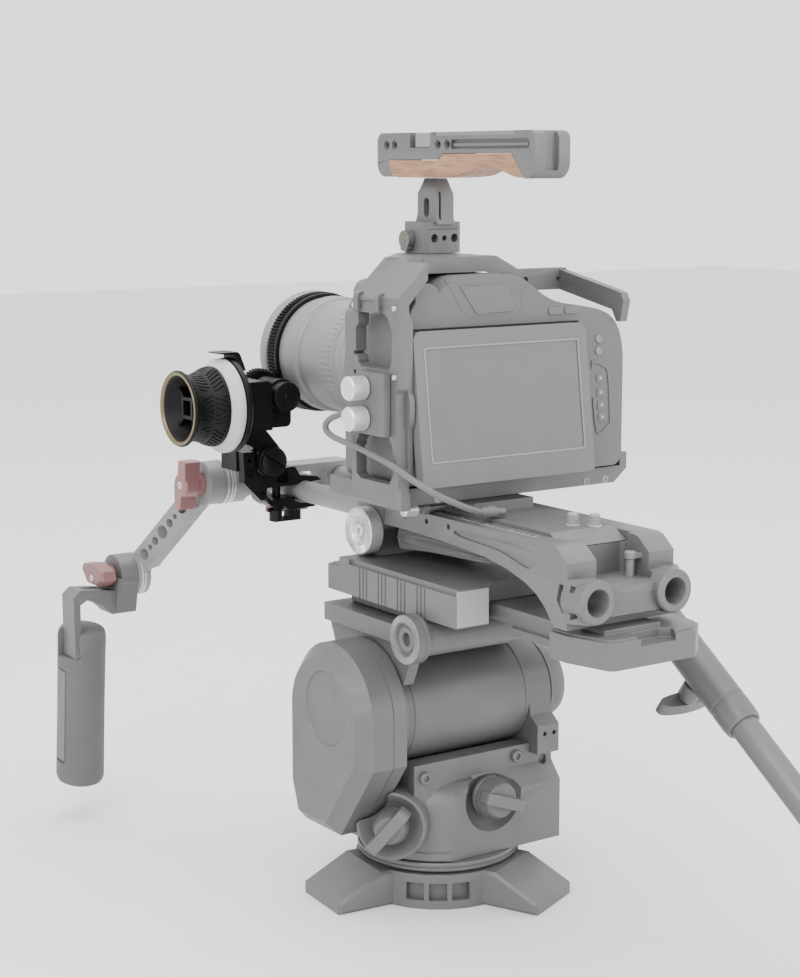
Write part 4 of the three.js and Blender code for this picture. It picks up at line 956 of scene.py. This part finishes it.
def pan_head():
    z0 = TILT_Z
    drum = lathe("x", 0, z0, [(10, -66), (10, -57.6), (38.4, -57.6), (39, -57), (39, -50.4), (38.4, -50),
            (37, -49.6), (37, -46), (36.4, -45.4), (36.4, -44.4), (37, -43.8), (37, 46.4), (36.5, 46.8),
            (36.5, 47.6), (37, 48), (37, 50.2), (10, 50.2), (10, 58)], 192)
    piece(drum, "tilt_barrel", "tilt_drum")

    out, inner, r, cz = -93, -58, 47, 133
    outline = arc(0, cz, r, 0, 180, 40) + [(-r, 104), (-8, 51), (35, 51), (r, 76)]
    small = arc(0, cz, r - 9, 0, 180, 40) + [(-r + 9, 107), (-3.6, 60), (31, 60), (r - 9, 80)]
    bm = bmesh.new()
    cover = closed_skin(bm, [[bm.verts.new(Vector((x, y, z)) * MM) for y, z in points]
            for points, x in ((small, out), (outline, out + 9), (outline, inner))])

    def grown(k):
        """The cover's outline, made larger round its middle."""
        return [(y * k, cz + (z - cz) * k) for y, z in outline]

    dish = lathe("x", -4, 138, [(25.6, out - 1), (25, out + 0.2), (24, out + 1.2), (22.6, out + 1.5)], 96)
    seam = cut(prism("x", grown(1.03), -68.5, -67.9), prism("x", grown(0.99), -69, -67))
    cover = cut(cover, dish, seam, rod("x", 0, z0, 10.4, inner - 10, inner + 1, 48))
    piece(cover, "drive_cover_shell", "left_drive_cover", soft=1.4, angle=20)

    cheek = prism("x", [(-46, 92.4), (46, 92.4), (46, 112), (38, 118)] + arc(0, z0, 36, 0, 180, 40)
        + [(-38, 118), (-46, 112)], 50.6, 69)
    cap = lathe("x", 0, z0, [(33, 68), (33, 71.6), (32.3, 72), (32.3, 72.8), (33, 73.2), (32.6, 75.4),
            (31.8, 76), (28, 76.2), (27.6, 84), (26, 89), (25, 91), (23.6, 92)], 144)
    right = cut(join(cheek, cap), rod("x", 0, z0, 10.4, 50, 60, 48), rod("y", 57, 106, 1.6, -47, -40, 24),
        rod("y", 65, 106, 1.6, -47, -40, 24))
    piece(right, "bearing_cheek", "right_cheek", soft=0.9, angle=30)
    for i in range(6):
        a = math.radians(30 + 60 * i)
        y, z = 18 * math.cos(a), z0 + 18 * math.sin(a)
        extra(hex_screw("x", y, z, 91.4, 0.6, 2.4), f"cheek_screw_{i + 1}", "pan_head")

    ledge = prism("x", [(-38, 70), (-38, 99), (38, 99), (38, 85), (48, 73), (48, 70)], -46, 69)
    lower_block = prism("x", [(-48, 32), (-48, 73), (-38, 85), (38, 85), (48, 73), (48, 32)], 0, 69)
    front_block = prism("x", [(0, 32), (0, 85), (38, 85), (48, 73), (48, 32)], -46, 10)
    barrel = cut(lathe("z", 0, 0, [(52.8, 32), (54, 33.2), (54, 38), (53.4, 38.4), (53.4, 39.2), (54, 39.6),
            (54, 66), (52, 74), (47.4, 80), (42, 83)], 160), block(-60, 80, -60, -48, 20, 100),
        block(-60, 80, -10, 60, 20, 100))
    housing = join(ledge, lower_block, front_block, barrel)
    housing = cut(housing, block(50, 80, -60, 60, 92, 120), block(-90, -57.6, -60, 60, 50, 120),
        rod("x", 0, z0, 39.4, -60, 80, 128), rod("z", 0, 0, 20.4, 30, 58.6, 64),
        lathe("y", 12, 70, [(13, -38.6), (15, -39.2), (21, -43.6), (23.4, -48.3), (23.4, -60)], 96),
        rod("y", 61, 86, 3.4, -50, -36, 32))
    boss = lathe("y", -28, 60, [(22.4, -20), (23.4, -24), (23.6, -45), (23, -47), (21.6, -47.6),
            (20.4, -47), (15, -42), (12, -40.6), (0, -40.4)], 96)
    turn(boss, "z", -45, (-28, 0, 0))
    boss = cut(boss, prism("x", grown(1.03), out - 2, inner + 0.6))
    housing = join(housing, boss)
    piece(housing, "pan_body", "pan_housing", soft=1.1, angle=28)
    for i, (x, z) in enumerate(((-38, 90), (38, 92))):
        boss = lathe("y", x, z, [(4.2, -37), (4.2, -40.4), (3.6, -41), (2.2, -41), (2.0, -39.6)], 40)
        extra(boss, f"housing_screw_{i + 1}", "pan_head")

    base = lathe("z", 0, 0, [(51.4, 24.3), (52, 24.8), (53.6, 25.6), (54.4, 26), (55, 27), (55, 28.2),
            (54.2, 28.6), (54.2, 29.4), (55, 29.8), (55, 31), (54.6, 31.6), (20, 31.6), (20, 58)], 192)
    piece(base, "pan_bearing_ring", "pan_base")
    refine("tripod_crown", 1.2)

    for name, r1, r2, width, lean, place, heading in (("pan_lock", 12, 9.5, 18.5, -50, (-28, -47.3, 60),
                -45), ("tilt_lock", 14, 12, 16, 20, (12, -48.3, 70), 0)):
        dial = lathe("y", 0, 0, [(r1, 6.4), (r1, 4), (r1 - 0.6, 3.4), (r1 - 0.6, 2.6), (r1, 2), (r1, -1),
                (r2, -8.6), (r2 - 1.4, -10), (0, -10.4)], 96)
        dial = join(dial, rod("y", 0, 0, 3, 0, 11, 32))
        bar = round_block("z", -width, width, -15.6, -2, 4, -4.2, 4.2)
        for obj in (dial, bar):
            turn(obj, "y", lean, (0, 0, 0))
            move(obj, *place)
            turn(obj, "z", heading, (place[0], 0, 0))
        piece(dial, name + "_dial", name + "_knob", soft=0.3, angle=30)
        extra(bar, name + "_bar", name, soft=1.2, angle=30)


def tilt_platform():
    slab = prism("x", [(-50, 184), (-50, 196), (48, 196), (48, 184), (37, 173), (33, 150), (4, 158),
            (-14, 167), (-38, 177)], -56, 49)
    cheek = prism("x", [(-50, 184), (-46, 170), (-40, 156), (0, 150), (33, 150), (48, 184)], -56, -48)
    wings = prism("x", [(-50, 184), (-50, 196), (48, 196), (48, 184)], -60.6, 64)
    platform = cut(join(slab, cheek, wings), rod("x", 0, TILT_Z, 39.4, -60, 70, 128))
    piece(platform, "tilt_table", "head_platform", soft=1.2, angle=28)
    refine("quick_plate", 0.8)
    plate = cut(copy_of("tripod_plate"), *[round_block("y", x, x + 6.5, 226.5, 236, 0.3, -110, 18)
            for x in (-64, 57.5)])
    piece(plate, "plate_body", "tripod_plate", soft=0.7, angle=28)
    for side, shift in (("left", -95), ("right", 0)):
        end = move(round_block("y", 35.4, 59.6, 206.8, 229.4, 0.6, -103.4, -102.6), shift, 0, 0)
        extra(end, f"plate_end_{side}", "tilt_head", "pale_face", soft=0.1)
    y, z = -63, 193
    tube = join(rod("x", y, z, 12.5, -64, 71, 96), lathe("x", y, z,
            [(4.2, -66), (4.4, -69.6), (5, -70), (8, -70), (8.4, -69.2), (9.6, -69.2), (10, -70.6),
            (10.6, -71.4), (15, -71.4), (15.9, -70.6), (15.9, -65.4), (15.2, -65), (15.2, -64.2),
            (15.9, -63.8), (15.9, -62), (15.2, -61), (13.4, -61), (13.4, -60)], 128),
        lathe("x", y, z, [(12, 69), (12, 70), (15.2, 70), (15.9, 71), (15.9, 78.2), (15, 79)], 128))
    piece(tube, "cross_tube", "handle_cross_tube", soft=0.2, angle=28)
    extra(rosette("x", y, z, -71.2, -1, 15.6, 56, 11.2, 0.8), "cross_tube_teeth", "tilt_head", "pale_alloy",
        angle=20, slot="grey_alloy")


def pan_bar():
    bx, by, bz, slope, r, knob = 112, -75, 208, 35, 12.7, 80

    def tilted(obj):
        obj.data.transform(Matrix.Translation(Vector((bx, by, bz)) * MM)
            @ Matrix.Rotation(math.radians(slope), 4, "X"))
        return obj
    clamp = join(tilted(lathe("y", 0, 0, [(16.2, -14), (17, -13.2), (17, -5), (16.4, -4.6), (16.4, -3.8),
            (17, -3.4), (17, 13.2), (16.2, 14)], 96)),
        lathe("x", -63, 193, [(15, 79.3), (15.9, 80.2), (15.9, 92), (14, 99), (13, 100)], 96))
    clamp = cut(clamp, tilted(rod("y", 0, 0, r + 0.3, -30, 30, 96)))
    piece(clamp, "bar_clamp", "handle_clamp", soft=0.5, angle=30)
    sleeve = tilted(hoop("y", 0, 0, [(10, 20), (12.2, 20), (r, 19.4), (r, -108), (r - 0.5, -108.6),
            (r - 0.5, -110), (r, -110.6), (r, -123), (12.3, -124), (12.3, -126.4), (11.6, -128),
            (10, -128)], 112))
    piece(sleeve, "bar_sleeve", "handle_sleeve")
    wing = [(u, v - knob) for u, v in smooth_outline([(-20, 3), (-20, -3), (-7, -5.4), (7, -5.4), (20, -3),
            (20, 3), (7, 5.4), (-7, 5.4)], 5)]
    key = join(rod("z", 0, -knob, 3, -19, -10.4, 32), lathe("z", 0, -knob,
            [(5.4, -27), (7, -24), (7, -14), (6.4, -13.2)], 64), prism("z", wing, -35, -26))
    piece(tilted(key), "bar_wing_screw", "sleeve_wing_knob", soft=1.0, angle=35)
    tube = tilted(hoop("y", 0, 0, [(7.8, -60), (9.6, -60), (9.6, -298), (8.6, -300), (7.8, -300)], 96))
    piece(tube, "bar_tube", "handle_inner_tube")
    profile = [(9.9, -225), (12, -225), (13.2, -227), (14, -230.5)]
    for i in range(21):
        a = -233 - i * 4.4
        profile += [(14, a), (14, a - 2.8), (13.3, a - 3.2), (13.3, a - 4.0)]
    profile += [(14, -326), (13.6, -328), (12, -330), (0, -330), (0, -300.3), (9.9, -300.3), (9.9, -225)]
    piece(tilted(lathe("y", 0, 0, profile, 96)), "bar_rubber_grip", "handle_grip")


def shoulder_rig():
    for name, x in (("rod_left", -ROD_X), ("rod_right", ROD_X)):
        tube = lathe("y", x, ROD_Z, [(7, 8.4), (7.5, 8.9), (7.5, 199), (6.9, 199.8), (5.6, 200), (5, 199.6),
                (4.6, 188)], 72)
        piece(tube, name + "_tube", name)
    left, right, top, rear = -41, 42, 268, -186
    arch = [(4, top), (-172, top), (-176, top - 1), (rear, top - 9), (rear, 219), (-174, 219), (-166, 229),
        (-158, 235.6), (-147, 241), (-128, 246.5), (-107, 250), (-60, 253), (-20, 254), (4, 254)]
    sockets = [lathe("y", x, 237, [(13.4, -183), (13.4, -200.6), (12.4, -201.5)], 96)
        for x in (-ROD_X, ROD_X)]
    base = join(prism("x", arch, left, right), *sockets, block(-30, 30, -197, -184, 226.4, 243.6),
        *[prism("z", [(edge, -184), (edge, -190), (k * 34, -200), (k * 26, -200), (k * 26, -184)], 223.8,
            250) for edge, k in ((left, -1), (right, 1))])
    hollow = smooth_outline([(-150, 250), (-120, 256), (-80, 258.6), (-80, 262), (-150, 262)], 6)
    cuts = [rod("y", x, 237, 8, -203, -150, 64) for x in (-ROD_X, ROD_X)]
    cuts += [lathe("y", x, 237, [(9.6, -204), (8, -200.4)], 64) for x in (-ROD_X, ROD_X)]
    cuts += [round_block("z", -19, 22, -191, -162, 3, 243.6, 300), block(-25.6, 25.6, -166.5, 5, 262, 300),
        prism("x", [(-196, 229), (-189, 226), (-189, 247), (-193, 246)], left - 1, left + 8),
        prism("x", [(-182.6, 228), (-176.4, 236), (-179, 246), (-182.6, 246)], left - 1, left + 5),
        prism("x", hollow, left - 1, left + 1.2), prism("x", hollow, right - 1.2, right + 1)]
    cuts += [rod("x", y, 263, 1.8, left - 1, left + 3, 24) for y in (-20, -44, -68)]
    base = cut(base, *cuts)
    piece(base, "shoulder_frame", "shoulder_base", soft=0.9, angle=26)
    post = join(lathe("z", 16, -176, [(2.6, 240), (2.6, 254), (3.6, 254.6), (3.6, 258), (3, 258.8)], 40),
        prism("z", [(15, -179), (28, -181), (29, -177), (15, -173)], 254.6, 257.6))
    extra(post, "rear_clamp_lever", "rig", "pale_alloy", soft=0.3, slot="grey_alloy")
    front = cut(copy_of("front_rod_block"), block(left - 9, right + 9, 0, 15, 225, 250.4))
    piece(front, "front_rod_clamp", "front_rod_block", soft=1.0)
    tray = arc(-23.6, -206.6, 6.4, 190, 270, 8) + arc(35, -209, 4, 270, 315, 4) + arc(48, -198.6, 3, 315,
        360, 4) + [(52, -165), (-37, -165), (-37, -181)]
    rail = join(prism("x", [(-45, 206.4), (-45, 217), (-166, 217), (-166, 200), (-113, 200), (-113, 206.4)],
            -26, 26), prism("z", tray, 198, 214.6), prism("z",
            [(x * 0.955 + 0.4, (y + 165) * 0.955 - 165) for x, y in tray], 214, 216),
        block(-22, 22, -198, -176, 214, 218.7))
    rail = cut(rail, prism("z", [(-6, -214), (20, -214), (24, -205), (18, -200.6), (-4, -200.6),
            (-10, -205)], 210.4, 217), *[prism("y", [(x, 205), (x + 5, 205), (x + 3, 210), (x + 2, 210)],
            -168, -40) for x in (-29, 24)])
    piece(rail, "rail_body", "base_rail", soft=0.8, angle=26)
    refine("camera_slide_plate", 0.6)
    knurled("plate_release_knob", -50, 272.6, "plate_release_pin", 3.8, -64, -53)
    stem = lathe("x", -50, 272.6, [(2.8, -54), (2.8, -49.4), (3.6, -49), (3.6, -44.6), (3.2, -44),
            (1.8, -44), (1.8, -30)], 48)
    extra(stem, "plate_release_stem", "plate_pin", soft=0.1, slot="bright_metal")
    for i, (x, y) in enumerate(((4, -136), (13, -146))):
        profile = [(0, 268), (4.2, 268), (4.6, 268.4), (4.6, 270.4), (4.2, 270.8), (3, 270.8)]
        for k in range(6):
            profile += [(3, 271 + k), (3.6, 271.3 + k), (3.6, 271.6 + k), (3, 271.9 + k)]
        head = lathe("z", x, y, profile + [(3.2, 277.2), (2.8, 277.6), (0, 277.6)], 48)
        extra(head, f"spare_screw_{i + 1}", "camera", "pale_face")
    marks = []
    for i in range(26):
        length = 5.2 if i % 5 == 0 else 3.0
        y = -20 - 5 * i
        marks.append(block(-35.4, -35.4 + length, y - 0.4, y + 0.4, 267.6, 268.12))
    extra(join(marks[0], *marks[1:]), "scale_marks", "rig", "white_disk", slot="grey_alloy")


def shoulder_pad():
    """Crowned foam pad under the arch, with a seam round its side and two sewn channels."""
    (x0, y0, _), (x1, y1, _) = (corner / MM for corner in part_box("shoulder_pad"))
    y1 += 16                    # the front roll swells forward, up to the rod block
    nx, ny = 40, 56
    corner, blunt = 14, 8       # radius of the corners, and width of the rounded edge
    length, width = y1 - y0, x1 - x0
    bm = bmesh.new()

    def upper(t):
        return 249.2 + 4.2 * math.sin(min(1, 1.5 * t) * math.pi / 2)

    def lower(t):
        return 240.6 - 7.0 * t ** 3 + 3.0 * (1 - t) ** 6

    grids = []
    for side in (0, 1):
        grid = []
        for j in range(ny + 1):
            v = j / ny
            y = y0 + 1 + (length - 2) * v
            t = (y - y0) / length
            mid, half = (upper(t) + lower(t)) / 2, (upper(t) - lower(t)) / 2
            end = max(0, corner - min(v, 1 - v) * length)
            inset = 2.6 - 1.6 * math.sin(math.pi * v) ** 0.5 + corner - math.sqrt(corner ** 2 - end ** 2)
            row = []
            for i in range(nx + 1):
                u = i / nx
                x = x0 + inset + (width - 2 * inset) * u
                edge = min(min(u, 1 - u) * width, min(v, 1 - v) * length)
                crown = math.sqrt(max(0, 1 - max(0, 1 - edge / blunt) ** 2.4))
                z = mid + (1 if side else -1) * half * (0.4 + 0.6 * crown)
                if edge > blunt and not side:
                    z += sum(0.9 * math.exp(-((u - c) / 0.018) ** 2) for c in (0.34, 0.66))
                row.append(bm.verts.new(Vector((x, y, z)) * MM))
            grid.append(row)
        grids.append(grid)
        for j in range(ny):
            for i in range(nx):
                bm.faces.new([grid[j][i], grid[j][i + 1], grid[j + 1][i + 1], grid[j + 1][i]])
    low, high = grids
    border = [(0, i) for i in range(nx)] + [(j, nx) for j in range(ny)] + [(ny, i)
        for i in range(nx, 0, -1)] + [(j, 0) for j in range(ny, 0, -1)]
    for (j0, i0), (j1, i1) in zip(border, border[1:] + border[:1]):
        bm.faces.new([low[j0][i0], low[j1][i1], high[j1][i1], high[j0][i0]])
    seam = [(low[j][i].co + high[j][i].co) / 2 for j, i in border]
    pad = to_object(bm)
    piece(pad, "shoulder_cushion", "shoulder_pad", angle=60)
    mod = pad.modifiers.new("smooth", "SUBSURF")
    mod.levels = mod.render_levels = 1
    extra(sweep(seam + seam[:1], 0.0007, 8), "shoulder_cushion_seam", "rig", "pad_foam")


for build in (free_cable, follow_focus_wheel, gears, lens, clamp_knobs, side_rosette, camera_body, screen,
        grip_arm, hand_grip, focus_bracket, top_handle, cage, pan_head, tilt_platform, pan_bar,
        shoulder_rig, shoulder_pad):
    build()

for node in NODES:
    if node not in done:
        refine(node)
